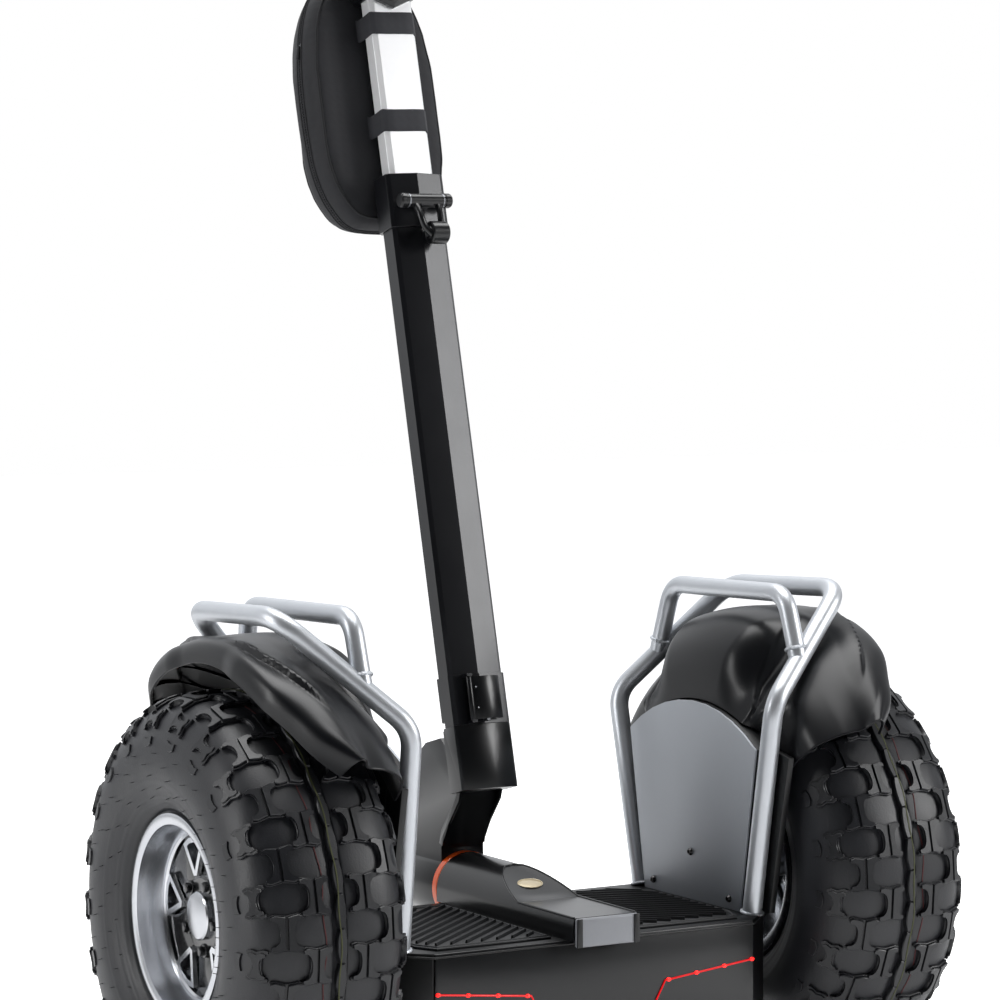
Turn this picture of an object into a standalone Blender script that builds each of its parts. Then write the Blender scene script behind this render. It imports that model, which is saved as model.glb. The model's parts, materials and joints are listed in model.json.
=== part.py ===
# A two-wheel self-balancing off-road transporter: platform, two driven wheels under fenders, roll bars,
# and a leaning steering column that folds forward. Metres, +Z up, +Y the way it drives, +X its right side.
# The origin is on the ground at the middle of the whole machine. The pieces are laid out with the wheel axis
# over Y = 0, and the last lines move the machine back onto that origin.
import math

import bmesh
import bpy
from mathutils import Matrix, Vector

GAP = 0.0003          # between pieces that touch
RUN = 0.0003          # running clearance of a shaft or pin in its bore
MERGE = 0.0001

# Wheels
TYRE_RADIUS = 0.2415  # a 19 inch tyre
TYRE_WIDTH = 0.202
WHEEL_CENTRE_X = 0.3595
RIM_SEAT_RADIUS = 0.1016  # an 8 inch rim
RIM_WIDTH = 0.156
RIM_WALL = 0.004
RIM_FLANGE = 0.0105     # how far the rim's flanges stand above the bead seat
HUB_DISC_X = 0.402    # middle of the rim's spoke disc
HUB_DISC_THICK = 0.010
WINDOW_COUNT = 5
HUB_FLANGE_RADIUS = 0.046
AXLE_RADIUS = 0.020
HUB_CAP_RADIUS = 0.024

# Gears: one reduction between each motor and its wheel
GEAR_MODULE = 0.0048
WHEEL_TEETH = 30
MOTOR_TEETH = 10
GEAR_WIDTH = 0.010
GEAR_X = 0.2332       # middle of both gears
MOTOR_RADIUS = 0.034
MOTOR_LENGTH = 0.085
MOTOR_SHAFT_RADIUS = 0.008

# Platform
DECK_TOP = 0.204
DECK_BOTTOM = 0.100
DECK_HALF_WIDTH = 0.246
DECK_REAR_HALF_WIDTH = 0.205
DECK_REAR = -0.152
DECK_REAR_SHOULDER = -0.110
DECK_FRONT = 0.130
DECK_FRONT_CHAMFER = 0.014
DECK_WALL = 0.004
BASE_PLATE = 0.003
FACIA_THICK = 0.0032
MAT_THICK = 0.004
MAT_REAR = -0.136
MAT_FRONT = 0.100
MAT_INNER = 0.050
MAT_OUTER = 0.206
MAT_CORNER = 0.026

# Hump on the platform's centre line, round the steering pivot
PIVOT_HEIGHT = 0.218
HUMP_RADIUS = 0.041
HUMP_WALL = 0.003
HUMP_REAR = -0.166
HUMP_LOW_TOP = 0.230
SCOOP_REAR = -0.045
SCOOP_FRONT = 0.036
HUMP_FRONT = 0.1385
END_PLATE_THICK = 0.006
END_PLATE_BOTTOM = 0.198
ACCENT_FRONT = 0.1498
HUB_FRONT = 0.250
PIVOT_SHAFT_RADIUS = 0.010

# Side housings, their plates and the arc that the fenders sit on
PLATE_X = 0.2195      # inboard face of the plate
PLATE_THICK = 0.003
HOUSING_OUTER_X = 0.250
HOUSING_FLANGE = 0.0075
PLATE_BOTTOM_HALF = 0.100
PLATE_TOP_HALF = 0.1320
PLATE_TOP_CORNER = 0.392
ARC_PEAK = 0.436
FLANGE_BOTTOM_HALF = 0.127
FLANGE_TOP_HALF = 0.165
SCREW_PLACES = ((0.080, 0.2165), (-0.080, 0.2165), (0.0, 0.260))
SCREW_RADIUS = 0.0035

# Roll bars
BAR_RADIUS = 0.011
BAR_BEND = 0.040
BAR_FOOT_REAR = (0.2265, -0.1135)
BAR_FOOT_FRONT = (0.2265, 0.1150)
BAR_ELBOW_REAR = (0.231, -0.153, 0.447)
BAR_ELBOW_FRONT = (0.231, 0.179, 0.429)
BAR_TOP_REAR = (0.362, -0.095, 0.567)
BAR_TOP_FRONT = (0.354, 0.120, 0.559)
HOOP_TOP_REAR = (0.278, -0.106, 0.565)
HOOP_TOP_FRONT = (0.281, 0.134, 0.560)
HOOP_JOIN = 0.36      # how far up the slanted run the inner hoop is welded

# Fenders
FENDER_CROWN = 0.297  # radius about the axle
FENDER_END_DROP = 0.010
FENDER_EDGE_X = 0.398
FENDER_TIP_X = 0.336
FENDER_LIP = 0.022
FENDER_MIDDLE = -3.0  # degrees, towards the rear
FENDER_SWEEP = 53.0
FENDER_WALL = 0.003
FENDER_SEAT = 0.0013   # the shell's middle surface above the arched side
FENDER_STEPS = 14

# Steering column, in a frame that leans forward by LEAN, with its origin at the fold's split line
LEAN = math.radians(14.1)
SPLIT_Y = 0.1160
SPLIT_Z = 0.4088
SLEEVE_HALF_WIDTH = 0.0370
SLEEVE_HALF_DEPTH = 0.0210
LOWER_SLEEVE = 0.075
UPPER_SLEEVE = 0.058
POLE_HALF_WIDTH = 0.0355
POLE_HALF_DEPTH = 0.0190
POLE_TOP = 0.616
COLLAR_BOTTOM = 0.5905
COLLAR_TOP = 0.655
COLLAR_HALF_WIDTH = 0.0382
COLLAR_HALF_DEPTH = 0.0230
TUBE_HALF_WIDTH = 0.029
TUBE_HALF_DEPTH = 0.0135
TUBE_WALL = 0.002
TUBE_BOTTOM = 0.400
TUBE_TOP = 0.890
SLIDE_GAP = 0.0004
FOLD_PIN_DEPTH = 0.0145  # ahead of the column's middle
FOLD_PIN_RADIUS = 0.003
KNUCKLE_RADIUS = 0.0062
KNUCKLE_HALF_WIDTH = 0.0125
STEM_HALF_WIDTH = 0.028

# Latch, clamp lever and handlebar
LATCH_WIDTH = 0.040
LATCH_BOTTOM = 0.004
LATCH_TOP = 0.054
LATCH_HINGE_X = -0.0175
LATCH_DEPTH = -0.0262
LATCH_PIN_RADIUS = 0.0015
LEVER_HEIGHT = 0.618
LEVER_DEPTH = -0.0332
LEVER_BARREL_RADIUS = 0.0082
LEVER_HALF_LENGTH = 0.034
LEVER_ROLLER_RADIUS = 0.0135
HEAD_BOTTOM = 0.8755
HEAD_TOP = 0.955
BAR_HEIGHT = 0.930
BAR_HALF_LENGTH = 0.300
HANDLE_RADIUS = 0.011
GRIP_RADIUS = 0.016
GRIP_LENGTH = 0.125
BUTTON_RADIUS = 0.006

# Bag in front of the upper tube
BAG_HALF_WIDTH = 0.085
BAG_DEPTH = 0.085
BAG_EDGE = 0.012      # its rounded edge
BAG_SHIFT = -0.011    # hangs off centre
BAG_STAND_OFF = 0.010
BAG_BOTTOM = 0.601
BAG_TOP = 0.928
STRAP_WIDTH = 0.027
STRAP_THICK = 0.0016
STRAP_HEIGHTS = (0.722, 0.842)

# Parking stand under the front of the platform
STAND_PIVOT_Y = 0.090
STAND_PIVOT_Z = 0.0875
STAND_FOOT_Y = 0.165
STAND_HALF_WIDTH = 0.090
STAND_RADIUS = 0.007


bag_rear = TUBE_HALF_DEPTH + BAG_STAND_OFF
bag_front = bag_rear + BAG_DEPTH
front_reach = SPLIT_Y + (BAG_TOP - BAG_EDGE) * math.sin(LEAN) + bag_front * math.cos(LEAN)
machine_middle = (front_reach - TYRE_RADIUS) / 2


def make_collection(name):
    collection = bpy.data.collections.new(name)
    bpy.context.scene.collection.children.link(collection)
    return collection


for old in list(bpy.data.objects):
    bpy.data.objects.remove(old, do_unlink=True)
parts = make_collection("self_balancing_transporter")
cutters = make_collection("cutters")


def make_material(name, colour, roughness, metallic=0.0, glow=0.0):
    material = bpy.data.materials.new(name)
    material.use_nodes = True
    shader = material.node_tree.nodes["Principled BSDF"]
    shader.inputs["Base Color"].default_value = (*colour, 1.0)
    shader.inputs["Roughness"].default_value = roughness
    shader.inputs["Metallic"].default_value = metallic
    shader.inputs["Emission Color"].default_value = (*colour, 1.0)
    shader.inputs["Emission Strength"].default_value = glow
    return material


BLACK_SATIN = make_material("black_satin_paint", (0.012, 0.012, 0.014), 0.38)
BLACK_GLOSS = make_material("black_gloss_paint", (0.008, 0.008, 0.010), 0.15)
DARK_SILVER = make_material("dark_silver_paint", (0.11, 0.115, 0.12), 0.35, 0.7)
SATIN_SILVER = make_material("satin_silver_tube", (0.42, 0.43, 0.45), 0.35, 0.9)
BRUSHED = make_material("brushed_aluminium", (0.78, 0.79, 0.80), 0.28, 1.0)
RIM_METAL = make_material("machined_rim", (0.60, 0.61, 0.63), 0.22, 1.0)
STEEL = make_material("plain_steel", (0.38, 0.38, 0.39), 0.35, 1.0)
FENDER_BLACK = make_material("fender_black", (0.012, 0.012, 0.014), 0.30)
RUBBER = make_material("black_rubber", (0.015, 0.015, 0.016), 0.70)
TYRE = make_material("tyre_rubber", (0.018, 0.018, 0.020), 0.65)
FABRIC = make_material("bag_fabric", (0.012, 0.013, 0.018), 0.85)
ORANGE = make_material("orange_trim", (0.75, 0.12, 0.01), 0.35)
RED_LIGHT = make_material("red_light", (0.60, 0.01, 0.01), 0.30, 0.0, 1.5)
GREY_TRIM = make_material("grey_trim", (0.16, 0.16, 0.17), 0.35, 0.5)
BATTERY = make_material("battery_case", (0.03, 0.05, 0.10), 0.50)
CIRCUIT = make_material("circuit_board", (0.02, 0.12, 0.04), 0.45)
SCREEN = make_material("display_glass", (0.01, 0.012, 0.015), 0.10)


def at(x, y, z):
    return Matrix.Translation((x, y, z))


ALONG_X = Matrix.Rotation(math.radians(90.0), 4, "Y")   # local +Z points along +X
OUTLINE_YZ = Matrix(((0, 0, 1, 0), (1, 0, 0, 0), (0, 1, 0, 0), (0, 0, 0, 1)))  # local XY drawn in YZ
OUTLINE_XZ = Matrix.Rotation(math.radians(90.0), 4, "X")   # local XY drawn in XZ, local +Z points along -Y
column = at(0.0, SPLIT_Y, SPLIT_Z) @ Matrix.Rotation(-LEAN, 4, "X")
latch_middle = at(LATCH_HINGE_X, LATCH_DEPTH, (LATCH_TOP + LATCH_BOTTOM) / 2)


def add_object(name, data, material=None, place=Matrix()):
    obj = bpy.data.objects.new(name, data)
    (parts if material else cutters).objects.link(obj)
    if material:
        data.materials.append(material)
    else:
        obj.hide_render = True
        obj.display_type = "WIRE"
    obj.matrix_world = place
    return obj


def mesh_from(maker):
    work = bmesh.new()
    maker(work)
    mesh = bpy.data.meshes.new("mesh")
    work.to_mesh(mesh)
    work.free()
    return mesh


def smooth(obj, degrees=40.0):
    obj.data.shade_smooth()
    obj.data.set_sharp_from_angle(angle=math.radians(degrees))
    return obj


def box(name, low, high, material=None, place=Matrix(), bevel=0.0):
    size = [b - a for a, b in zip(low, high)]
    middle = [(a + b) / 2 for a, b in zip(low, high)]

    def maker(work):
        bmesh.ops.create_cube(work, size=1.0)
        bmesh.ops.scale(work, vec=size, verts=work.verts)

    obj = add_object(name, mesh_from(maker), material, place @ at(*middle))
    if bevel:
        add_bevel(obj, bevel)
    return obj


def add_bevel(obj, width, segments=1):
    bevel = obj.modifiers.new("Edges", "BEVEL")
    bevel.width = width
    bevel.segments = segments
    bevel.limit_method = "ANGLE"
    bevel.angle_limit = math.radians(50.0)


def cylinder(name, radius, length, material=None, place=Matrix(), sides=24):
    def maker(work):
        bmesh.ops.create_cone(work, cap_ends=True, segments=sides, radius1=radius,
                              radius2=radius, depth=length)

    obj = add_object(name, mesh_from(maker), material, place)
    return smooth(obj)


def plate(name, outlines, thickness, material=None, place=Matrix()):
    # A flat piece from closed outlines in its own XY plane, the later ones holes, made a mesh
    curve = bpy.data.curves.new(name, "CURVE")
    curve.dimensions = "2D"
    curve.fill_mode = "BOTH"
    curve.extrude = thickness / 2
    for outline in outlines:
        spline = curve.splines.new("POLY")
        spline.points.add(len(outline) - 1)
        for point, (u, v) in zip(spline.points, outline):
            point.co = (u, v, 0.0, 1.0)
        spline.use_cyclic_u = True
    return curve_to_mesh(name, curve, material, place)


def curve_to_mesh(name, curve, material, place):
    scratch = bpy.data.objects.new(name + "_curve", curve)
    cutters.objects.link(scratch)
    graph = bpy.context.evaluated_depsgraph_get()
    mesh = bpy.data.meshes.new_from_object(scratch.evaluated_get(graph))
    bpy.data.objects.remove(scratch, do_unlink=True)
    work = bmesh.new()
    work.from_mesh(mesh)
    bmesh.ops.remove_doubles(work, verts=work.verts, dist=MERGE / 10)
    bmesh.ops.dissolve_limit(work, angle_limit=math.radians(0.1), verts=work.verts, edges=work.edges)
    work.to_mesh(mesh)
    work.free()
    mesh.materials.clear()
    return add_object(name, mesh, material, place)


def tube(name, points, radius, material=None, bends=0.0, closed_ends=True, place=Matrix()):
    # A round bar along points whose corners are rounded to the bend radius
    curve = bpy.data.curves.new(name, "CURVE")
    curve.dimensions = "3D"
    curve.bevel_depth = radius
    curve.bevel_resolution = 2
    curve.use_fill_caps = closed_ends
    path = rounded_path(points, bends) if bends else [Vector(p) for p in points]
    spline = curve.splines.new("POLY")
    spline.points.add(len(path) - 1)
    for point, co in zip(spline.points, path):
        point.co = (*co, 1.0)
    return smooth(curve_to_mesh(name, curve, material, place))


def rounded_path(points, radius, steps=4):
    points = [Vector(p) for p in points]
    path = [points[0]]
    for before, corner, after in zip(points, points[1:], points[2:]):
        back = (before - corner).normalized()
        ahead = (after - corner).normalized()
        half = back.angle(ahead) / 2
        reach = min(radius / math.tan(half), 0.48 * (before - corner).length, 0.48 * (after - corner).length)
        start, end = corner + back * reach, corner + ahead * reach
        for i in range(steps + 1):
            t = i / steps
            path.append(start * (1 - t) ** 2 + corner * 2 * t * (1 - t) + end * t ** 2)
    path.append(points[-1])
    return path


def turned(name, profile, material=None, place=Matrix(), steps=32, ring=False):
    # A profile of (radius, height) down the outer side; a ring's profile is a closed loop
    mesh = bpy.data.meshes.new(name)
    edges = [(i, i + 1) for i in range(len(profile) - 1)]
    if ring:
        edges.append((len(profile) - 1, 0))
    mesh.from_pydata([(r, 0.0, h) for r, h in profile], edges, [])
    obj = add_object(name, mesh, material, place)
    screw = obj.modifiers.new("Turn", "SCREW")
    screw.steps = steps
    screw.render_steps = steps
    screw.use_merge_vertices = True
    screw.merge_threshold = MERGE
    screw.use_smooth_shade = True
    return obj


def boolean(target, tool, operation):
    modifier = target.modifiers.new(tool.name, "BOOLEAN")
    modifier.operation = operation
    modifier.object = tool


def cut(target, *tools):
    for tool in tools:
        boolean(target, tool, "DIFFERENCE")
    return target


def join(target, *tools):
    for tool in tools:
        boolean(target, tool, "UNION")
    return target


def axis_empty(name, place, parent=None):
    empty = bpy.data.objects.new(name, None)
    empty.empty_display_size = 0.03
    parts.objects.link(empty)
    empty.matrix_world = place
    if parent:
        bpy.context.view_layer.update()
        hang(parent, empty)
    return empty


def hang(parent, *objects):
    # Parents pieces to a joint's empty and leaves them where they are
    bpy.context.view_layer.update()
    for obj in objects:
        obj.parent = parent
        obj.matrix_parent_inverse = parent.matrix_world.inverted()


def arc(centre, radius, start, end, steps):
    return [(centre[0] + radius * math.cos(start + (end - start) * i / steps),
             centre[1] + radius * math.sin(start + (end - start) * i / steps)) for i in range(steps + 1)]


def mirrored(half):
    # A closed outline from its right half, listed from one end of the middle line to the other
    return half + [(-u, v) for u, v in reversed(half) if u > MERGE]


# ---------------------------------------------------------------- platform

def deck_outline(inset=0.0, rear=DECK_REAR):
    side = DECK_HALF_WIDTH - inset
    nose = DECK_FRONT_CHAMFER
    return mirrored([(0.0, rear + inset), (DECK_REAR_HALF_WIDTH - inset / 2, rear + inset),
                     (side, DECK_REAR_SHOULDER + inset / 2), (side, DECK_FRONT - nose - inset / 2),
                     (side - nose, DECK_FRONT - inset), (0.0, DECK_FRONT - inset)])


facia_front = DECK_REAR + FACIA_THICK + GAP


def build_deck():
    height = DECK_TOP - DECK_BOTTOM
    middle = (DECK_TOP + DECK_BOTTOM) / 2
    shell = plate("deck_shell", [deck_outline(rear=facia_front)], height, BLACK_SATIN, at(0, 0, middle))
    cut(shell, plate("deck_hollow", [deck_outline(DECK_WALL, facia_front)], height, None,
                     at(0, 0, middle - DECK_WALL)))
    for side in (-1, 1):
        slot = GEAR_WIDTH / 2 + 0.0025
        cut(shell, box("gear_slot", (side * GEAR_X - slot, -wheel_gear_tip - 0.004, DECK_TOP - 2 * DECK_WALL),
                       (side * GEAR_X + slot, wheel_gear_tip + 0.004, DECK_TOP + DECK_WALL)))
    base = plate("bottom_plate", [deck_outline(rear=facia_front)], BASE_PLATE, BLACK_SATIN,
                 at(0, 0, DECK_BOTTOM - GAP - BASE_PLATE / 2))
    for side in (-1, 1):
        inner, outer = sorted((side * (STAND_HALF_WIDTH + 0.0085), side * (STAND_HALF_WIDTH + 0.0145)))
        join(base, box("stand_ear", (inner, STAND_PIVOT_Y - 0.012, STAND_PIVOT_Z - 0.012),
                       (outer, STAND_PIVOT_Y + 0.012, DECK_BOTTOM - GAP - BASE_PLATE / 2)))
    cut(base, cylinder("stand_bore", STAND_RADIUS + RUN, 4 * STAND_HALF_WIDTH, None,
                       at(0, STAND_PIVOT_Y, STAND_PIVOT_Z) @ ALONG_X, 16))
    half = DECK_REAR_HALF_WIDTH - 0.001
    facia = plate("rear_facia", [mirrored([(0.0, DECK_BOTTOM), (half - 0.012, DECK_BOTTOM),
                                           (half, DECK_BOTTOM + 0.012),
                                           (half, DECK_TOP), (0.0, DECK_TOP)])],
                  FACIA_THICK, BLACK_GLOSS, at(0, DECK_REAR + FACIA_THICK / 2, 0) @ OUTLINE_XZ)
    light_front = DECK_REAR - GAP
    light_back = light_front - 0.002
    centre_z, knee_z, end_z, bar = 0.118, 0.149, 0.163, 0.006
    lower = [(0.0, centre_z), (0.082, centre_z), (0.100, knee_z), (0.198, end_z)]
    upper = [(0.198, end_z + bar), (0.097, knee_z + bar), (0.078, centre_z + bar), (0.0, centre_z + bar)]
    plate("rear_light", [mirrored(lower + upper)], light_front - light_back, RED_LIGHT,
          at(0, (light_front + light_back) / 2, 0) @ OUTLINE_XZ)


def mat_outline(side):
    front_cut = 0.040
    points = [(MAT_INNER, MAT_REAR), (MAT_OUTER - 0.5 * MAT_CORNER, MAT_REAR),
              (MAT_OUTER, MAT_REAR + MAT_CORNER),
              (MAT_OUTER, MAT_FRONT - front_cut), (MAT_OUTER - front_cut, MAT_FRONT), (MAT_INNER, MAT_FRONT)]
    return [(side * x, y) for x, y in points]


def build_mats():
    for word, side in (("left", -1), ("right", 1)):
        plate("mat_" + word, [mat_outline(side)], MAT_THICK, RUBBER, at(0, 0, DECK_TOP + GAP + MAT_THICK / 2))


def build_inside():
    floor = DECK_BOTTOM + GAP
    box("battery_pack", (-0.110, -0.125, floor), (0.110, 0.105, floor + 0.076), BATTERY, bevel=0.004)
    box("control_board", (-0.085, -0.110, floor + 0.0765), (0.085, 0.080, floor + 0.0785), CIRCUIT)
    for word, side in (("left", -1), ("right", 1)):
        motor_end = GEAR_X - GEAR_WIDTH / 2 - 0.012
        motor = cylinder("motor_" + word, MOTOR_RADIUS, MOTOR_LENGTH, STEEL,
                         at(side * (motor_end - MOTOR_LENGTH / 2), 0, motor_height) @ ALONG_X, 20)
        cut(motor, cylinder("motor_bore", MOTOR_SHAFT_RADIUS + RUN, MOTOR_LENGTH, None,
                            at(side * (motor_end - MOTOR_LENGTH / 2 + 0.010), 0, motor_height) @ ALONG_X, 16))


# ---------------------------------------------------------------- gears

motor_height = TYRE_RADIUS - GEAR_MODULE * (WHEEL_TEETH + MOTOR_TEETH) / 2
wheel_gear_tip = GEAR_MODULE * (WHEEL_TEETH / 2 + 0.8)


def gear_outline(teeth, turn):
    # Straight-sided teeth with running backlash: each is a share of the tooth pitch wide at its tip and root
    tip, root = 0.18, 0.60
    inner = GEAR_MODULE * (teeth / 2 - 1.15)
    outer = GEAR_MODULE * (teeth / 2 + 0.8)
    pitch = 2 * math.pi / teeth
    points = []
    for tooth in range(teeth):
        middle = turn + tooth * pitch
        for radius, share in ((inner, -root), (outer, -tip), (outer, tip), (inner, root)):
            angle = middle + share * pitch / 2
            points.append((radius * math.cos(angle), radius * math.sin(angle)))
    return points


# ---------------------------------------------------------------- side housings, plates and screws

arc_half = PLATE_TOP_HALF
arc_rise = ARC_PEAK - PLATE_TOP_CORNER
arc_radius = (arc_half ** 2 + arc_rise ** 2) / (2 * arc_rise)
arc_centre = ARC_PEAK - arc_radius
plate_foot = DECK_TOP + GAP


def side_outline(bottom_half, top_half, grow=0.0, steps=10):
    # The tapered side with its arched top, drawn in Y and Z
    radius = arc_radius - grow
    reach = math.asin(top_half / radius) if top_half < arc_half + MERGE else math.asin(arc_half / radius)
    top = arc((0.0, arc_centre), radius, math.pi / 2 - reach, math.pi / 2 + reach, steps)
    corner = [(top_half, PLATE_TOP_CORNER - 0.007)] if top_half > arc_half + MERGE else []
    return ([(-bottom_half, plate_foot), (bottom_half, plate_foot)] + corner + top + [(-y, z) for y,
            z in corner])


def build_sides():
    inner_face = PLATE_X + PLATE_THICK + GAP
    for word, side in (("left", -1), ("right", 1)):
        def across(low, high, side=side):
            return at(side * (low + high) / 2, 0, 0) @ OUTLINE_YZ

        plate("side_panel_" + word, [side_outline(PLATE_BOTTOM_HALF, PLATE_TOP_HALF)], PLATE_THICK,
              DARK_SILVER,
              across(PLATE_X, PLATE_X + PLATE_THICK))
        housing = plate("side_housing_" + word, [side_outline(PLATE_BOTTOM_HALF - 0.001, PLATE_TOP_HALF)],
                        HOUSING_OUTER_X - inner_face, BLACK_SATIN, across(inner_face, HOUSING_OUTER_X))
        flange_low = HOUSING_OUTER_X - HOUSING_FLANGE
        join(housing, plate("housing_flange_" + word,
                            [side_outline(FLANGE_BOTTOM_HALF, FLANGE_TOP_HALF, 0.0004)],
                            HOUSING_FLANGE - 0.0002, None, across(flange_low, HOUSING_OUTER_X - 0.0002)))
        hollow_radius = wheel_gear_tip + 0.004
        hollow = ([(-hollow_radius, DECK_TOP - 0.01), (hollow_radius, DECK_TOP - 0.01)]
                  + arc((0.0, TYRE_RADIUS), hollow_radius, 0.0, math.pi, 12))
        slot = GEAR_WIDTH / 2 + 0.0022
        cut(housing, plate("housing_hollow_" + word, [hollow], 2 * slot, None,
                           across(GEAR_X - slot, GEAR_X + slot)),
            cylinder("axle_bore_" + word, AXLE_RADIUS + RUN, 0.040, None,
                     at(side * (GEAR_X + 0.020), 0, TYRE_RADIUS) @ ALONG_X, 28))
        for number, (y, z) in enumerate(SCREW_PLACES, 1):
            head = [(0.0, 0.0022), (0.6 * SCREW_RADIUS, 0.0018), (SCREW_RADIUS, 0.0), (0.0, 0.0)]
            turned("panel_screw_%s_%d" % (word, number), head, STEEL,
                   at(side * (PLATE_X - GAP), y, z) @ Matrix.Rotation(math.radians(-90.0 * side), 4, "Y"),
                   steps=12)


# ---------------------------------------------------------------- roll bars

def build_roll_bars():
    for word, side in (("left", -1), ("right", 1)):
        def mirror(point, side=side):
            return Vector((side * point[0], point[1], point[2]))

        foot = DECK_TOP - 0.010
        main = [mirror((*BAR_FOOT_REAR, foot)), mirror(BAR_ELBOW_REAR), mirror(BAR_TOP_REAR),
                mirror(BAR_TOP_FRONT),
                mirror(BAR_ELBOW_FRONT), mirror((*BAR_FOOT_FRONT, foot))]
        bar = tube("roll_bar_" + word, main, BAR_RADIUS, SATIN_SILVER, BAR_BEND)
        cut(bar, box("bar_feet_" + word, (-0.3, -0.3, 0.1), (0.3, 0.3, DECK_TOP + GAP)))
        rear_weld = main[1].lerp(main[2], HOOP_JOIN)
        front_weld = main[4].lerp(main[3], HOOP_JOIN)
        hoop_path = [rear_weld, mirror(HOOP_TOP_REAR), mirror(HOOP_TOP_FRONT), front_weld]
        hoop = tube("inner_hoop_" + word, hoop_path, BAR_RADIUS * 0.95, SATIN_SILVER, 0.030)
        # The hoop's feet are fish-mouthed to the main tube, a hair clear of it
        cut(hoop, tube("hoop_mouth_" + word, main, BAR_RADIUS + GAP, None, BAR_BEND))


# ---------------------------------------------------------------- fenders

def fender_edge(angle):
    # Radius about the axle of the arched side's top edge at an angle from straight up
    drop = TYRE_RADIUS - arc_centre
    radius = arc_radius + FENDER_SEAT
    return -drop * math.cos(angle) + math.sqrt(radius ** 2 - (drop * math.sin(angle)) ** 2)


def fender_section(degrees_back):
    # Points (x, radius) from the arch over the crown to the outer lip
    angle = math.radians(degrees_back)
    off = abs(degrees_back - FENDER_MIDDLE) / FENDER_SWEEP
    dome = 1.0 if off < 0.25 else max(0.0, 1.0 - (off - 0.25) / 0.25)
    inner = fender_edge(angle)
    crown = FENDER_CROWN - FENDER_END_DROP * off ** 2
    edge = FENDER_EDGE_X - (FENDER_EDGE_X - FENDER_TIP_X) * off ** 4
    start = 0.2290 + (0.0245 * min(1.0, max(0.0, (off - 0.58) / 0.14)))
    full = [(start, inner), (0.2330, 0.238), (0.2450, 0.266), (0.2700, 0.288), (0.3050, crown)]
    hip = [(start, inner), (max(start, 0.2400) + 0.002, 0.224), (0.2640, 0.246), (0.2880, 0.265),
           (0.3120, crown - 0.014)]
    points = [(hx + (fx - hx) * dome, hr + (fr - hr) * dome) for (fx, fr), (hx, hr) in zip(full, hip)]
    shoulder = (0.3120 + edge) / 2
    return points + [(shoulder, crown), (edge - 0.006, crown - 0.005), (edge, crown - FENDER_LIP - 0.005)]


def build_fenders():
    for word, side in (("left", -1), ("right", 1)):
        rows = []
        for step in range(FENDER_STEPS + 1):
            degrees_back = FENDER_MIDDLE + FENDER_SWEEP * (2 * step / FENDER_STEPS - 1)
            angle = math.radians(degrees_back)
            rows.append([(side * x, -r * math.sin(angle), TYRE_RADIUS + r * math.cos(angle))
                         for x, r in fender_section(degrees_back)])
        width = len(rows[0])
        faces = []
        for i in range(FENDER_STEPS):
            for j in range(width - 1):
                face = (i * width + j, i * width + j + 1, (i + 1) * width + j + 1, (i + 1) * width + j)
                faces.append(face if side < 0 else face[::-1])
        mesh = bpy.data.meshes.new("fender")
        mesh.from_pydata([point for row in rows for point in row], [], faces)
        fender = smooth(add_object("fender_" + word, mesh, FENDER_BLACK))
        wall = fender.modifiers.new("Wall", "SOLIDIFY")
        wall.thickness = FENDER_WALL
        wall.offset = 0.0
        wall.use_even_offset = True


# ---------------------------------------------------------------- wheels

def tyre_profile():
    # Radius and distance along the axle, as a U-shaped ring open at the beads
    half = TYRE_WIDTH / 2
    seat = RIM_SEAT_RADIUS + GAP
    bead = RIM_WIDTH / 2 - RIM_WALL - 0.001
    outer = [(seat, bead), (seat + RIM_FLANGE + 0.001, bead), (0.124, bead + 0.012), (0.165, half),
             (0.200, 0.097), (0.224, 0.085),
             (0.2385, 0.059), (TYRE_RADIUS, 0.028)]
    inner = [(0.2260, 0.045), (0.2060, 0.079), (0.165, 0.091), (seat, bead - 0.011)]
    return ([(r, h) for r, h in outer] + [(r, -h) for r, h in reversed(outer)]
            + [(r, -h) for r, h in reversed(inner)] + inner)


def rim_profile():
    half = RIM_WIDTH / 2
    seat = RIM_SEAT_RADIUS
    flange = seat + RIM_FLANGE
    return [(flange, half), (flange, half - RIM_WALL), (seat, half - RIM_WALL - 0.0005),
            (seat, -half + RIM_WALL + 0.0005),
            (flange, -half + RIM_WALL), (flange, -half), (seat - 0.004, -half), (seat - 0.006, half)]


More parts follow.
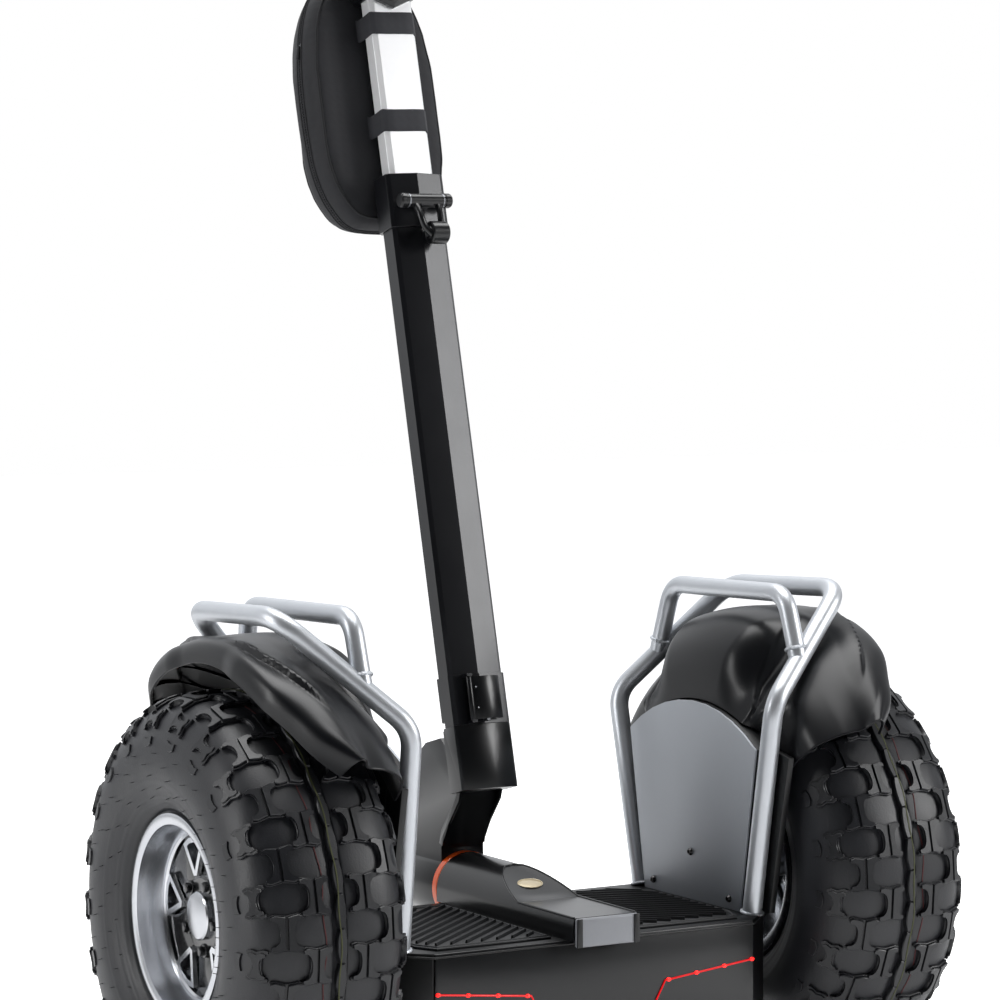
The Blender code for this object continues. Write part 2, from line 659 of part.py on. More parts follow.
def build_wheels():
    for word, side in (("left", -1), ("right", 1)):
        turn = ALONG_X if side > 0 else Matrix.Rotation(math.pi, 4, "Z") @ ALONG_X
        centre = at(side * WHEEL_CENTRE_X, 0, TYRE_RADIUS) @ turn
        hub = axis_empty("wheel_axis_" + word, at(side * WHEEL_CENTRE_X, 0, TYRE_RADIUS))
        tyre = turned("tyre_" + word, tyre_profile(), TYRE, centre, steps=28, ring=True)
        rim = turned("rim_" + word, rim_profile(), RIM_METAL, centre, steps=28, ring=True)
        disc_z = HUB_DISC_X - WHEEL_CENTRE_X
        disc = cylinder("spoke_disc_" + word, RIM_SEAT_RADIUS - 0.003, HUB_DISC_THICK, None,
                        centre @ at(0, 0, disc_z), 28)
        window = [(0.036, 0.0), (0.074, 0.026), (0.078, 0.0), (0.074, -0.026)]
        for number in range(WINDOW_COUNT):
            spin = Matrix.Rotation(2 * math.pi * number / WINDOW_COUNT, 4, "Z")
            cut(disc, plate("rim_window", [window[::-1]], 3 * HUB_DISC_THICK, None,
                            centre @ at(0, 0, disc_z) @ spin))
        join(rim, disc)
        cut(rim, cylinder("rim_bore_" + word, 0.0125, 0.05, None, centre @ at(0, 0, disc_z), 20))
        shaft = build_axle(word, side, centre, disc_z)
        gear = plate("drive_gear_" + word, [gear_outline(WHEEL_TEETH, math.pi / WHEEL_TEETH),
                                            arc((0, 0), AXLE_RADIUS * 0.7 + GAP, 2 * math.pi,
                                                2 * math.pi / 24, 23)],
                     GEAR_WIDTH, STEEL, at(side * GEAR_X, 0, TYRE_RADIUS) @ ALONG_X)
        cap = turned("hub_cap_" + word, [(0.0, 0.009), (0.016, 0.008), (HUB_CAP_RADIUS, 0.002),
                                         (HUB_CAP_RADIUS, 0.0), (0.0, 0.0)],
                     BLACK_GLOSS, centre @ at(0, 0, disc_z + HUB_DISC_THICK / 2 + GAP), steps=24)
        hang(hub, tyre, rim, shaft, gear, cap)
        pinion = plate("motor_pinion_" + word, [gear_outline(MOTOR_TEETH, 0.0)], GEAR_WIDTH, STEEL,
                       at(side * GEAR_X, 0, motor_height) @ ALONG_X)
        shaft_length = 0.070
        shaft_end = GEAR_X + GEAR_WIDTH / 2 - 0.001
        join(pinion, cylinder("motor_shaft_" + word, MOTOR_SHAFT_RADIUS, shaft_length, None,
                              at(side * (shaft_end - shaft_length / 2), 0, motor_height) @ ALONG_X, 16))
        hang(axis_empty("motor_axis_" + word, at(side * GEAR_X, 0, motor_height)), pinion)


def build_axle(word, side, centre, disc_z):
    # Journal through the housing, a step for the gear and a flange bolted to the spoke disc
    inner = GEAR_X - GEAR_WIDTH / 2 - WHEEL_CENTRE_X
    step = GEAR_X + GEAR_WIDTH / 2 + GAP - WHEEL_CENTRE_X
    flange_face = disc_z - HUB_DISC_THICK / 2 - GAP
    nose = disc_z + HUB_DISC_THICK / 2
    profile = [(0.0, nose), (0.012, nose), (0.012, flange_face), (HUB_FLANGE_RADIUS, flange_face),
               (HUB_FLANGE_RADIUS, flange_face - 0.008), (AXLE_RADIUS, flange_face - 0.020),
               (AXLE_RADIUS, step),
               (AXLE_RADIUS * 0.7, step), (AXLE_RADIUS * 0.7, inner), (0.0, inner)]
    return turned("axle_" + word, profile, STEEL, centre, steps=24)


# ---------------------------------------------------------------- hump and steering

def side_profile(name, outline, half_width, place=Matrix(), material=None):
    return plate(name, [outline], 2 * half_width, material, place @ OUTLINE_YZ)


def build_hump():
    foot = DECK_TOP + GAP

    def arch(name, radius, low):
        outline = [(-radius, low), (radius, low)] + arc((0.0, PIVOT_HEIGHT), radius, 0.0, math.pi, 14)
        return plate(name, [outline], 0.600, None if low < foot else BLACK_GLOSS,
                     OUTLINE_XZ)

    def profile(inset):
        top = PIVOT_HEIGHT + 2 * HUMP_RADIUS
        return [(HUMP_REAR + inset, DECK_TOP - 0.05), (HUMP_REAR + inset, HUMP_LOW_TOP - inset),
                (SCOOP_REAR + inset / 3, HUMP_LOW_TOP - inset),
                (SCOOP_FRONT, PIVOT_HEIGHT + HUMP_RADIUS - inset),
                (SCOOP_FRONT + 0.001, top), (HUMP_FRONT - inset, top),
                (HUMP_FRONT - inset, DECK_TOP - 0.05)][::-1]

    cover = arch("hump_cover", HUMP_RADIUS, foot)
    boolean(cover, side_profile("hump_side", profile(0.0), 2 * HUMP_RADIUS), "INTERSECT")
    hollow = arch("hump_hollow", HUMP_RADIUS - HUMP_WALL, DECK_TOP - 0.01)
    boolean(hollow, side_profile("hump_inner_side", profile(HUMP_WALL), 2 * HUMP_RADIUS), "INTERSECT")
    cut(cover, hollow, cylinder("hump_bore", PIVOT_SHAFT_RADIUS + RUN, 0.030, None,
                                at(0, HUMP_FRONT, PIVOT_HEIGHT) @ OUTLINE_XZ, 20))
    box("hump_end_plate", (-0.040, HUMP_REAR - END_PLATE_THICK, END_PLATE_BOTTOM),
        (0.040, HUMP_REAR - GAP, HUMP_LOW_TOP), GREY_TRIM, bevel=0.002)
    ring_length = ACCENT_FRONT - HUMP_FRONT - GAP
    inner = HUMP_RADIUS * 0.7
    turned("accent_ring", [(HUMP_RADIUS + 0.0004, ring_length / 2), (HUMP_RADIUS + 0.0004, -ring_length / 2),
                           (inner, -ring_length / 2), (inner, ring_length / 2)], ORANGE,
           at(0, HUMP_FRONT + GAP + ring_length / 2, PIVOT_HEIGHT) @ OUTLINE_XZ, steps=32, ring=True)
    block = box("pivot_bearing", (-0.027, 0.060, foot), (0.027, 0.100, PIVOT_HEIGHT + 0.024), STEEL,
                bevel=0.004)
    cut(block, cylinder("bearing_bore", PIVOT_SHAFT_RADIUS + RUN, 0.080, None,
                        at(0, 0.080, PIVOT_HEIGHT) @ OUTLINE_XZ, 20))


def section(half_width, half_depth, grow=0.0):
    # The column's cross-section: flat front, bevelled edges and a shallow ridge along the rear
    w, d = half_width + grow, half_depth + grow
    ridge = 0.18 * half_depth
    return mirrored([(0.0, -d), (w - 0.0045, -d + ridge + 0.001), (w, -d + 0.0085), (w, d - 0.007),
                     (w - 0.006, d), (0.0, d)])


def tube_section(grow=0.0):
    w, d, edge = TUBE_HALF_WIDTH + grow, TUBE_HALF_DEPTH + grow, 0.005
    return [(-w + edge, -d), (w - edge, -d), (w, -d + edge), (w, d - edge), (w - edge, d), (-w + edge, d),
            (-w, d - edge), (-w, -d + edge)]


def along_column(name, outlines, low, high, material=None):
    return plate(name, outlines, high - low, material, column @ at(0, 0, (low + high) / 2))


def knuckle(name, half_width, middle_x=0.0, radius=KNUCKLE_RADIUS, material=None):
    place = column @ at(middle_x, FOLD_PIN_DEPTH, 0) @ ALONG_X
    return cylinder(name, radius, 2 * half_width, material, place, 20)


def knuckle_room(name, low_x, high_x, low_s, high_s):
    reach = KNUCKLE_RADIUS + 0.0005
    return box(name, (low_x, FOLD_PIN_DEPTH - reach, low_s), (high_x, SLEEVE_HALF_DEPTH + 0.01, high_s),
               None, column)


def build_stem(steering):
    hub_length = HUB_FRONT - ACCENT_FRONT - GAP
    hub_profile = [(0.0, hub_length / 2), (0.030, hub_length / 2 - 0.001), (0.038, hub_length / 2 - 0.006),
                   (HUMP_RADIUS, hub_length / 2 - 0.016), (HUMP_RADIUS, -hub_length / 2),
                   (0.0, -hub_length / 2)]
    forward = Matrix.Rotation(math.radians(-90.0), 4, "X")
    hub_middle = ACCENT_FRONT + GAP + hub_length / 2
    stem = along_column("steering_stem", [section(SLEEVE_HALF_WIDTH, SLEEVE_HALF_DEPTH)], -LOWER_SLEEVE,
                        -GAP / 2, BLACK_GLOSS)
    root = ACCENT_FRONT + 2 * GAP
    neck = [(root, 0.225), (0.239, 0.225), (0.241, 0.240), (0.238, 0.290), (0.231, 0.328), (0.222, 0.349),
            (0.207, 0.368), (0.187, 0.383), (0.152, 0.392), (0.118, 0.370), (0.108, 0.345), (0.114, 0.325),
            (root, PIVOT_HEIGHT + HUMP_RADIUS + 0.006)]
    join(stem, side_profile("stem_neck", neck, STEM_HALF_WIDTH),
         turned("stem_hub", hub_profile, None, at(0, hub_middle, PIVOT_HEIGHT) @ forward, steps=28))
    reach = KNUCKLE_RADIUS + 0.0005
    inner = KNUCKLE_HALF_WIDTH
    outer = SLEEVE_HALF_WIDTH
    cut(stem, knuckle_room("lower_notch", -inner - GAP, inner + GAP, -reach, reach))
    for x in (-1, 1):
        half = (outer - inner - 0.008) / 2
        middle = x * (inner + GAP + half + 0.0001)
        join(stem, knuckle("lower_knuckle", half, middle))
    cut(stem, knuckle("lower_pin_bore", 0.05, 0.0, FOLD_PIN_RADIUS + RUN),
        cylinder("stem_shaft_bore", PIVOT_SHAFT_RADIUS + RUN, 0.090, None,
                 at(0, ACCENT_FRONT, PIVOT_HEIGHT) @ OUTLINE_XZ, 20))
    shaft_rear, shaft_front = 0.050, ACCENT_FRONT + 0.044
    shaft = cylinder("pivot_shaft", PIVOT_SHAFT_RADIUS, shaft_front - shaft_rear, STEEL,
                     at(0, (shaft_front + shaft_rear) / 2, PIVOT_HEIGHT) @ OUTLINE_XZ, 20)
    pin = knuckle("fold_pin", SLEEVE_HALF_WIDTH - 0.0085, 0.0, FOLD_PIN_RADIUS, STEEL)
    hang(steering, stem, shaft, pin)


def build_pole(fold):
    reach = KNUCKLE_RADIUS + 0.0005
    sleeve = along_column("upper_sleeve", [section(SLEEVE_HALF_WIDTH, SLEEVE_HALF_DEPTH)], GAP / 2,
                          UPPER_SLEEVE, BLACK_GLOSS)
    cut(sleeve, knuckle_room("upper_notch", -SLEEVE_HALF_WIDTH - 0.01, SLEEVE_HALF_WIDTH + 0.01, -reach,
                             reach))
    join(sleeve, knuckle("upper_knuckle", KNUCKLE_HALF_WIDTH - GAP),
         box("upper_web", (-KNUCKLE_HALF_WIDTH + GAP, FOLD_PIN_DEPTH - KNUCKLE_RADIUS - 0.002, 0.0008),
             (KNUCKLE_HALF_WIDTH - GAP, SLEEVE_HALF_DEPTH - 0.0006, reach + 0.002), None, column),
         along_column("pole_spigot", [tube_section(SLIDE_GAP - GAP)], UPPER_SLEEVE - 0.004,
                      UPPER_SLEEVE + 0.040))
    cut(sleeve, knuckle("upper_pin_bore", 0.05, 0.0, FOLD_PIN_RADIUS + RUN))
    pole = along_column("lower_pole", [section(POLE_HALF_WIDTH, POLE_HALF_DEPTH),
                                       tube_section(SLIDE_GAP)[::-1]],
                        UPPER_SLEEVE + GAP, POLE_TOP, BLACK_SATIN)
    collar = along_column("clamp_collar", [section(COLLAR_HALF_WIDTH, COLLAR_HALF_DEPTH),
                                           tube_section(SLIDE_GAP)[::-1]],
                          COLLAR_BOTTOM, COLLAR_TOP, BLACK_GLOSS)
    cut(collar, along_column("collar_seat", [section(POLE_HALF_WIDTH, POLE_HALF_DEPTH, GAP)],
                             COLLAR_BOTTOM - 0.01, POLE_TOP + GAP))
    lug = box("lever_lug", (-0.008, LEVER_DEPTH - 0.006, LEVER_HEIGHT - 0.007),
              (0.008, -COLLAR_HALF_DEPTH + 0.003, LEVER_HEIGHT + 0.007), None, column)
    join(collar, lug)
    cut(collar, cylinder("lug_bore", 0.003 + RUN, 0.04, None,
                         column @ at(0, LEVER_DEPTH, LEVER_HEIGHT) @ ALONG_X, 16))
    for low, high in ((LATCH_BOTTOM - 0.0035, LATCH_BOTTOM - GAP), (LATCH_TOP + GAP, LATCH_TOP + 0.0035)):
        join(sleeve, box("latch_lug", (LATCH_HINGE_X - 0.0035, LATCH_DEPTH - 0.0035, low),
                         (LATCH_HINGE_X + 0.0035, -SLEEVE_HALF_DEPTH + 0.006, high), None, column))
    cut(sleeve, cylinder("latch_pin_bore", LATCH_PIN_RADIUS + RUN, 0.070, None, column @ latch_middle, 12))
    hang(fold, sleeve, pole, collar)


def build_latch(fold):
    # A curved door on the rear of the sleeve that swings on its left edge
    depth = LATCH_DEPTH
    hinge = axis_empty("latch_axis", column @ latch_middle, fold)
    barrel = cylinder("fold_latch", 0.0034, LATCH_TOP - LATCH_BOTTOM, BLACK_GLOSS, column @ latch_middle, 14)
    join(barrel, cylinder("latch_pin", LATCH_PIN_RADIUS, LATCH_TOP - LATCH_BOTTOM + 0.006, None,
                          column @ latch_middle, 12))
    bulge = 0.006
    span = LATCH_WIDTH
    radius = (span ** 2 / 4 + bulge ** 2) / (2 * bulge)
    reach = math.asin(span / 2 / radius)
    middle = (LATCH_HINGE_X + span / 2, depth + radius - bulge + 0.0012)
    outer = arc(middle, radius, -math.pi / 2 - reach, -math.pi / 2 + reach, 8)
    inner = arc(middle, radius - 0.0035, -math.pi / 2 + reach, -math.pi / 2 - reach, 8)
    join(barrel, along_column("latch_door", [outer + inner], LATCH_BOTTOM + 0.0004, LATCH_TOP - 0.0004))
    hang(hinge, barrel)


def build_lever(fold):
    axis = axis_empty("lever_axis", column @ at(0, LEVER_DEPTH, LEVER_HEIGHT), fold)
    lever = cylinder("clamp_lever", 0.003, 2 * LEVER_HALF_LENGTH - 0.002, STEEL,
                     column @ at(0, LEVER_DEPTH, LEVER_HEIGHT) @ ALONG_X, 16)
    barrel_start = 0.0090
    for side in (-1, 1):
        join(lever, cylinder("lever_barrel", LEVER_BARREL_RADIUS, LEVER_HALF_LENGTH - barrel_start, None,
                             column @ at(side * (LEVER_HALF_LENGTH + barrel_start) / 2, LEVER_DEPTH,
                                         LEVER_HEIGHT) @ ALONG_X, 20))
    frame = column @ at(0, LEVER_DEPTH - 0.0015, LEVER_HEIGHT) @ OUTLINE_XZ
    half = [(0.0, -0.046), (0.013, -0.044), (0.020, -0.022), (0.024, 0.0), (0.0088, 0.0),
            (0.0088, -0.014), (0.0, -0.014)]
    join(lever, plate("lever_yoke", [mirrored(half)], 0.005, None, frame),
         cylinder("lever_roller", LEVER_ROLLER_RADIUS, 0.022, None,
                  column @ at(0.009, LEVER_DEPTH - 0.0045, LEVER_HEIGHT - 0.040) @ ALONG_X, 20))
    lever.data.materials[0] = BLACK_GLOSS
    hang(axis, lever)


def build_top(fold):
    slide = axis_empty("height_slide", column @ at(0, 0, TUBE_TOP), fold)
    upper = along_column("upper_tube", [tube_section(), tube_section(-TUBE_WALL)[::-1]], TUBE_BOTTOM,
                         TUBE_TOP, BRUSHED)
    head_half = 0.037
    drop = 0.016
    front_outline = mirrored([(0.0, HEAD_BOTTOM - drop), (head_half, HEAD_BOTTOM),
                              (head_half, HEAD_TOP - 0.010), (head_half - 0.010, HEAD_TOP), (0.0, HEAD_TOP)])
    head = plate("handlebar_head", [front_outline], 0.046, BLACK_GLOSS, column @ OUTLINE_XZ)
    add_bevel(head, 0.004)
    cut(head, along_column("head_socket", [tube_section(GAP)], HEAD_BOTTOM - 0.05, TUBE_TOP + GAP),
        cylinder("head_bore", HANDLE_RADIUS + GAP, 0.12, None, column @ at(0, 0, BAR_HEIGHT) @ ALONG_X, 20))
    bar = cylinder("handlebar", HANDLE_RADIUS, 2 * BAR_HALF_LENGTH, BLACK_SATIN,
                   column @ at(0, 0, BAR_HEIGHT) @ ALONG_X, 20)
    hang(slide, upper, head, bar)
    for word, side in (("left", -1), ("right", 1)):
        end = BAR_HALF_LENGTH + 0.003
        grip = turned("grip_" + word, [(0.0, GRIP_LENGTH / 2), (GRIP_RADIUS * 0.85, GRIP_LENGTH / 2),
                                       (GRIP_RADIUS, GRIP_LENGTH / 2 - 0.004),
                                       (GRIP_RADIUS, -GRIP_LENGTH / 2 + 0.004),
                                       (GRIP_RADIUS + 0.003, -GRIP_LENGTH / 2 + 0.003),
                                       (GRIP_RADIUS + 0.003, -GRIP_LENGTH / 2), (0.0, -GRIP_LENGTH / 2)],
                      RUBBER,
                      column @ at(side * (end - GRIP_LENGTH / 2), 0,
                                  BAR_HEIGHT) @ (ALONG_X if side > 0 else Matrix.Rotation(math.pi, 4,
                                          "Z") @ ALONG_X), steps=20)
        cut(grip, cylinder("grip_bore_" + word, HANDLE_RADIUS + GAP, GRIP_LENGTH, None,
                           column @ at(side * (end - GRIP_LENGTH / 2 - 0.0027), 0, BAR_HEIGHT) @ ALONG_X, 20))
        hang(slide, grip)
    face = -0.0232
    display = box("display", (-0.026, face - 0.010, BAR_HEIGHT - 0.026),
                  (0.026, face - GAP, BAR_HEIGHT + 0.016), SCREEN, column, 0.003)
    hang(slide, display)
    for word, x in (("left", -0.012), ("right", 0.012)):
        push = axis_empty("button_axis_" + word, column @ at(x, face - 0.010, BAR_HEIGHT - 0.034), slide)
        cut(head, cylinder("button_well_" + word, BUTTON_RADIUS + 0.0004, 0.008, None,
                           column @ at(x, face, BAR_HEIGHT - 0.0345) @ OUTLINE_XZ, 14))
        button = cylinder("button_" + word, BUTTON_RADIUS, 0.004, GREY_TRIM,
                          column @ at(x, face - 0.0015, BAR_HEIGHT - 0.0345) @ OUTLINE_XZ, 14)
        hang(push, button)
    build_bag(slide)


def build_bag(slide):
    rear, front = bag_rear, bag_front
    low, high = BAG_BOTTOM, BAG_TOP
    half = BAG_HALF_WIDTH
    outline = mirrored([(0.0, low), (0.42 * half, low + 0.002), (0.70 * half, low + 0.017),
                        (0.88 * half, low + 0.044),
                        (half, low + 0.100), (half, low + 0.185), (0.93 * half, low + 0.240),
                        (0.78 * half, low + 0.290),
                        (0.45 * half, high - 0.006), (0.0, high)])
    bag = plate("bag", [outline], BAG_DEPTH, FABRIC,
                column @ at(BAG_SHIFT, (rear + front) / 2, 0) @ OUTLINE_XZ)
    add_bevel(bag, BAG_EDGE)
    for number, height in enumerate(STRAP_HEIGHTS, 1):
        w, d = TUBE_HALF_WIDTH + GAP, TUBE_HALF_DEPTH + GAP
        t = STRAP_THICK
        outer = [(-w - t, -d - t), (w + t, -d - t), (w + t, rear + 0.012), (-w - t, rear + 0.012)]
        inner = [(-w, -d), (-w, d), (w, d), (w, -d)]
        join(bag, along_column("strap_%d" % number, [outer, inner], height - STRAP_WIDTH / 2,
                               height + STRAP_WIDTH / 2))
    hang(slide, bag)


def build_stand():
    axis = axis_empty("stand_axis", at(0, STAND_PIVOT_Y, STAND_PIVOT_Z))
    half = STAND_HALF_WIDTH
    foot_z = STAND_RADIUS * math.cos(math.pi / 8) + 0.00005
    ring = [(-half, STAND_PIVOT_Y, STAND_PIVOT_Z), (-half, STAND_FOOT_Y, foot_z),
            (half, STAND_FOOT_Y, foot_z), (half, STAND_PIVOT_Y, STAND_PIVOT_Z)]
    stand = tube("parking_stand", ring, STAND_RADIUS, SATIN_SILVER, 0.020)
    join(stand, cylinder("stand_spindle", STAND_RADIUS, 2 * half + 0.030, None,
                         at(0, STAND_PIVOT_Y, STAND_PIVOT_Z) @ ALONG_X, 16))
    hang(axis, stand)


build_deck()
build_mats()
build_inside()
build_sides()
build_roll_bars()
build_fenders()
build_wheels()
build_hump()
steering_axis = axis_empty("steering_axis", at(0, ACCENT_FRONT, PIVOT_HEIGHT))
build_stem(steering_axis)
fold_axis = axis_empty("fold_axis", column @ at(0, FOLD_PIN_DEPTH, 0), steering_axis)
build_pole(fold_axis)
build_latch(fold_axis)
build_lever(fold_axis)
build_top(fold_axis)
build_stand()

# The machine's middle along Y lies between the rear of the tyres and the front of the bag
machine = axis_empty("machine", at(0, 0, 0))
for piece in [*parts.objects, *cutters.objects]:
    if piece.parent is None and piece is not machine:
        piece.parent = machine
machine.location.y = -machine_middle
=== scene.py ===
# Off-road self-balancing transporter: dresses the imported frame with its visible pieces, light and camera.
import json
import math

import bmesh
import bpy
from mathutils import Matrix, Vector
from mathutils.bvhtree import BVHTree


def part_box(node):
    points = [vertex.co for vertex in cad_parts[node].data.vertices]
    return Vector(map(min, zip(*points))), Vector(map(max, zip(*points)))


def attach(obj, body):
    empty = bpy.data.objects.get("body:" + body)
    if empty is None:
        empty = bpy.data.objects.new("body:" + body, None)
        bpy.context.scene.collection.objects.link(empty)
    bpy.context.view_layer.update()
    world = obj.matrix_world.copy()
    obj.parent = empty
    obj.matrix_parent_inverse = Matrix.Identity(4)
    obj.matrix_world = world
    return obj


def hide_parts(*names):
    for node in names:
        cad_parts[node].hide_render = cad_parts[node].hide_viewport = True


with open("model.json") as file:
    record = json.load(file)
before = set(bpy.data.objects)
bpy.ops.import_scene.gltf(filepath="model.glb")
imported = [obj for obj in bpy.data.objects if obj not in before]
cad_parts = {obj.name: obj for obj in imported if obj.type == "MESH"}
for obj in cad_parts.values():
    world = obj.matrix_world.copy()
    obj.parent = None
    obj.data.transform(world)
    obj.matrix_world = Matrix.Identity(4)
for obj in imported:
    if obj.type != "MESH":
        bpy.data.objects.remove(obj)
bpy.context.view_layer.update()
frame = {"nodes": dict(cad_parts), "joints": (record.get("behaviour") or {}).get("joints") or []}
cadNodes = frame["nodes"]
jointPlace = {joint["name"]: Vector(joint["pos_m"]) for joint in frame["joints"] if "pos_m" in joint}
shapes = bpy.data.collections.new("transporter")
bpy.context.scene.collection.children.link(shapes)

wheelLeft = jointPlace["wheel_left_spin"]
axleY, axleZ, wheelX = wheelLeft.y, wheelLeft.z, -wheelLeft.x
lean = math.radians(14.1)
columnFoot = Vector((0.0, axleY + 0.1160, 0.4088))   # where the column folds
column = Matrix.Translation(columnFoot) @ Matrix.Rotation(-lean, 4, "X")
sides = (("left", -1), ("right", 1))


def place(x, y, z):   # a point given from the floor below the axle
    return Vector((x, y + axleY, z))


# ---- materials ----

def colour(hexText):
    channels = [int(hexText[i:i + 2], 16) / 255 for i in (0, 2, 4)]
    return (*[c / 12.92 if c < 0.04045 else ((c + 0.055) / 1.055) ** 2.4 for c in channels], 1.0)


def addNode(tree, kind, settings=(), links=()):
    node = tree.nodes.new(kind)
    for key, value in dict(settings).items():
        if isinstance(key, str) and hasattr(node, key) and key not in node.inputs:
            setattr(node, key, value)
        else:
            node.inputs[key].default_value = value
    for key, source in dict(links).items():
        tree.links.new(source, node.inputs[key])
    return node


def makeMaterial(name, tone, rough, metal=0.0, coat=0.0, coatRough=0.08, ior=1.5, grain=None, mottle=None,
                 sheen=0.0, glow=0.0, roughSpread=0.0):
    # Sizes in grain and mottle are in millimetres; tones are hexadecimal
    material = bpy.data.materials.new(name)
    material.use_nodes = True
    tree = material.node_tree
    shader = tree.nodes["Principled BSDF"]
    shader.inputs["Base Color"].default_value = colour(tone)
    shader.inputs["Roughness"].default_value = rough
    shader.inputs["Metallic"].default_value = metal
    shader.inputs["Coat Weight"].default_value = coat
    shader.inputs["Coat Roughness"].default_value = coatRough
    if not metal:
        shader.inputs["IOR"].default_value = ior
    shader.inputs["Sheen Weight"].default_value = sheen
    shader.inputs["Sheen Roughness"].default_value = 0.5
    if glow:
        shader.inputs["Emission Color"].default_value = colour(tone)
        shader.inputs["Emission Strength"].default_value = glow
    where = addNode(tree, "ShaderNodeTexCoord")
    if mottle:   # (size in millimetres, second tone)
        size, second = mottle
        cloud = addNode(tree, "ShaderNodeTexNoise", {"Scale": 1000 / size, "Detail": 5.0, "Roughness": 0.6},
                        {"Vector": where.outputs["Object"]})
        mix = addNode(tree, "ShaderNodeMix", {"data_type": "RGBA"}, {0: cloud.outputs["Fac"]})
        mix.inputs[6].default_value = colour(tone)
        mix.inputs[7].default_value = colour(second)
        tree.links.new(mix.outputs[2], shader.inputs["Base Color"])
        if roughSpread:
            spread = addNode(tree, "ShaderNodeMapRange",
                             {"To Min": rough - roughSpread, "To Max": rough + roughSpread},
                             {"Value": cloud.outputs["Fac"]})
            tree.links.new(spread.outputs["Result"], shader.inputs["Roughness"])
    if grain:   # (size in millimetres along x, y, z, depth in millimetres)
        gx, gy, gz, depth = grain
        stretch = addNode(tree, "ShaderNodeMapping", {"Scale": (1000 / gx, 1000 / gy, 1000 / gz)},
                          {"Vector": where.outputs["Object"]})
        fine = addNode(tree, "ShaderNodeTexNoise", {"Scale": 1.0, "Detail": 3.0},
                       {"Vector": stretch.outputs["Vector"]})
        bump = addNode(tree, "ShaderNodeBump", {"Strength": 0.6, "Distance": depth / 1000},
                       {"Height": fine.outputs["Fac"]})
        tree.links.new(bump.outputs["Normal"], shader.inputs["Normal"])
    return material


tyreRubber = makeMaterial("mouldedTyreRubber", "17181b", 0.44, grain=(2.2, 2.2, 2.2, 0.25),
                          mottle=(34, "202126"), roughSpread=0.10)
lugRubber = makeMaterial("lugTyreRubber", "141518", 0.38, grain=(1.6, 1.6, 1.6, 0.2),
                         mottle=(20, "1c1d21"), roughSpread=0.10)
ribRubber = makeMaterial("mouldedMatRubber", "18191b", 0.52, grain=(1.2, 1.2, 1.2, 0.12),
                         mottle=(15, "1e1f22"), roughSpread=0.06)
gripRubber = makeMaterial("softGripRubber", "17181a", 0.62, grain=(0.8, 0.8, 0.8, 0.1),
                          mottle=(9, "1c1d20"), roughSpread=0.05)
turnedAluminium = makeMaterial("turnedAluminium", "d4d6da", 0.24, metal=1.0, grain=(0.5, 40, 40, 0.03),
                               mottle=(60, "c2c4c9"), roughSpread=0.05)
milledAluminium = makeMaterial("milledAluminium", "dfe1e4", 0.20, metal=1.0, grain=(30, 0.9, 30, 0.02),
                               mottle=(40, "cfd1d5"), roughSpread=0.04)
wheelEnamel = makeMaterial("stovedWheelEnamel", "08090a", 0.22, coat=0.6, mottle=(12, "0c0d0f"),
                           roughSpread=0.04)
glossEnamel = makeMaterial("glossPolyesterPowder", "08090b", 0.30, ior=1.45, coat=0.2, coatRough=0.15,
                           grain=(1.4, 1.4, 1.4, 0.012), mottle=(50, "0a0b0e"), roughSpread=0.02)
columnEnamel = makeMaterial("columnPowder", "121317", 0.30, metal=0.35, coat=0.25, coatRough=0.25,
                            grain=(0.9, 0.9, 0.9, 0.012), mottle=(40, "101115"), roughSpread=0.03)
satinEnamel = makeMaterial("satinPolyesterPowder", "08090b", 0.42, grain=(0.9, 0.9, 0.9, 0.03),
                           mottle=(40, "0a0b0d"), roughSpread=0.04)
mouldedFender = makeMaterial("mouldedAbsFender", "090a0d", 0.33, ior=1.42, grain=(1.8, 1.8, 1.8, 0.02),
                             mottle=(70, "0c0d11"), roughSpread=0.03)
tubePowder = makeMaterial("silverPowderTube", "c4c8cd", 0.40, metal=0.75, grain=(1.0, 1.0, 1.0, 0.03),
                          mottle=(30, "cdd0d5"), roughSpread=0.04)
platePaint = makeMaterial("darkSilverPlatePaint", "a9adb3", 0.50, metal=0.35, grain=(0.7, 0.7, 9.0, 0.02),
                          mottle=(90, "b0b4ba"), roughSpread=0.03)
brushedTube = makeMaterial("brushedAluminiumTube", "fbfbfc", 0.34, metal=0.45,
                           grain=(0.35, 0.35, 30, 0.03), mottle=(25, "f2f3f5"), roughSpread=0.05)
steelTurned = makeMaterial("turnedSteel", "8b8d91", 0.33, metal=1.0, grain=(0.5, 20, 20, 0.03),
                           mottle=(14, "7a7c80"), roughSpread=0.05)
blackScrew = makeMaterial("blackenedScrewSteel", "5c5b58", 0.28, metal=1.0, mottle=(3, "35353a"),
                          roughSpread=0.06)
greyAbs = makeMaterial("greyAbs", "85878c", 0.40, grain=(0.9, 0.9, 0.9, 0.03), mottle=(18, "8e9095"),
                       roughSpread=0.05)
orangeAbs = makeMaterial("orangeAbs", "ff5a10", 0.30, coat=0.2, mottle=(12, "ff6a20"), roughSpread=0.04)
redLens = makeMaterial("litRedLens", "c40c12", 0.25, glow=0.9, mottle=(6, "8c080c"))
redLamp = makeMaterial("redLamp", "ff2420", 0.25, glow=2.2, mottle=(3, "ff1612"))
darkLens = makeMaterial("smokedAcrylic", "050506", 0.22, ior=1.25, mottle=(30, "070708"), roughSpread=0.02)
creamBadge = makeMaterial("creamEnamelBadge", "cfc2a4", 0.35, metal=0.3, coat=0.4, mottle=(3, "b8a98a"),
                          roughSpread=0.05)
yellowMark = makeMaterial("yellowTyreMark", "4c5028", 0.75, mottle=(5, "32351f"), roughSpread=0.05)
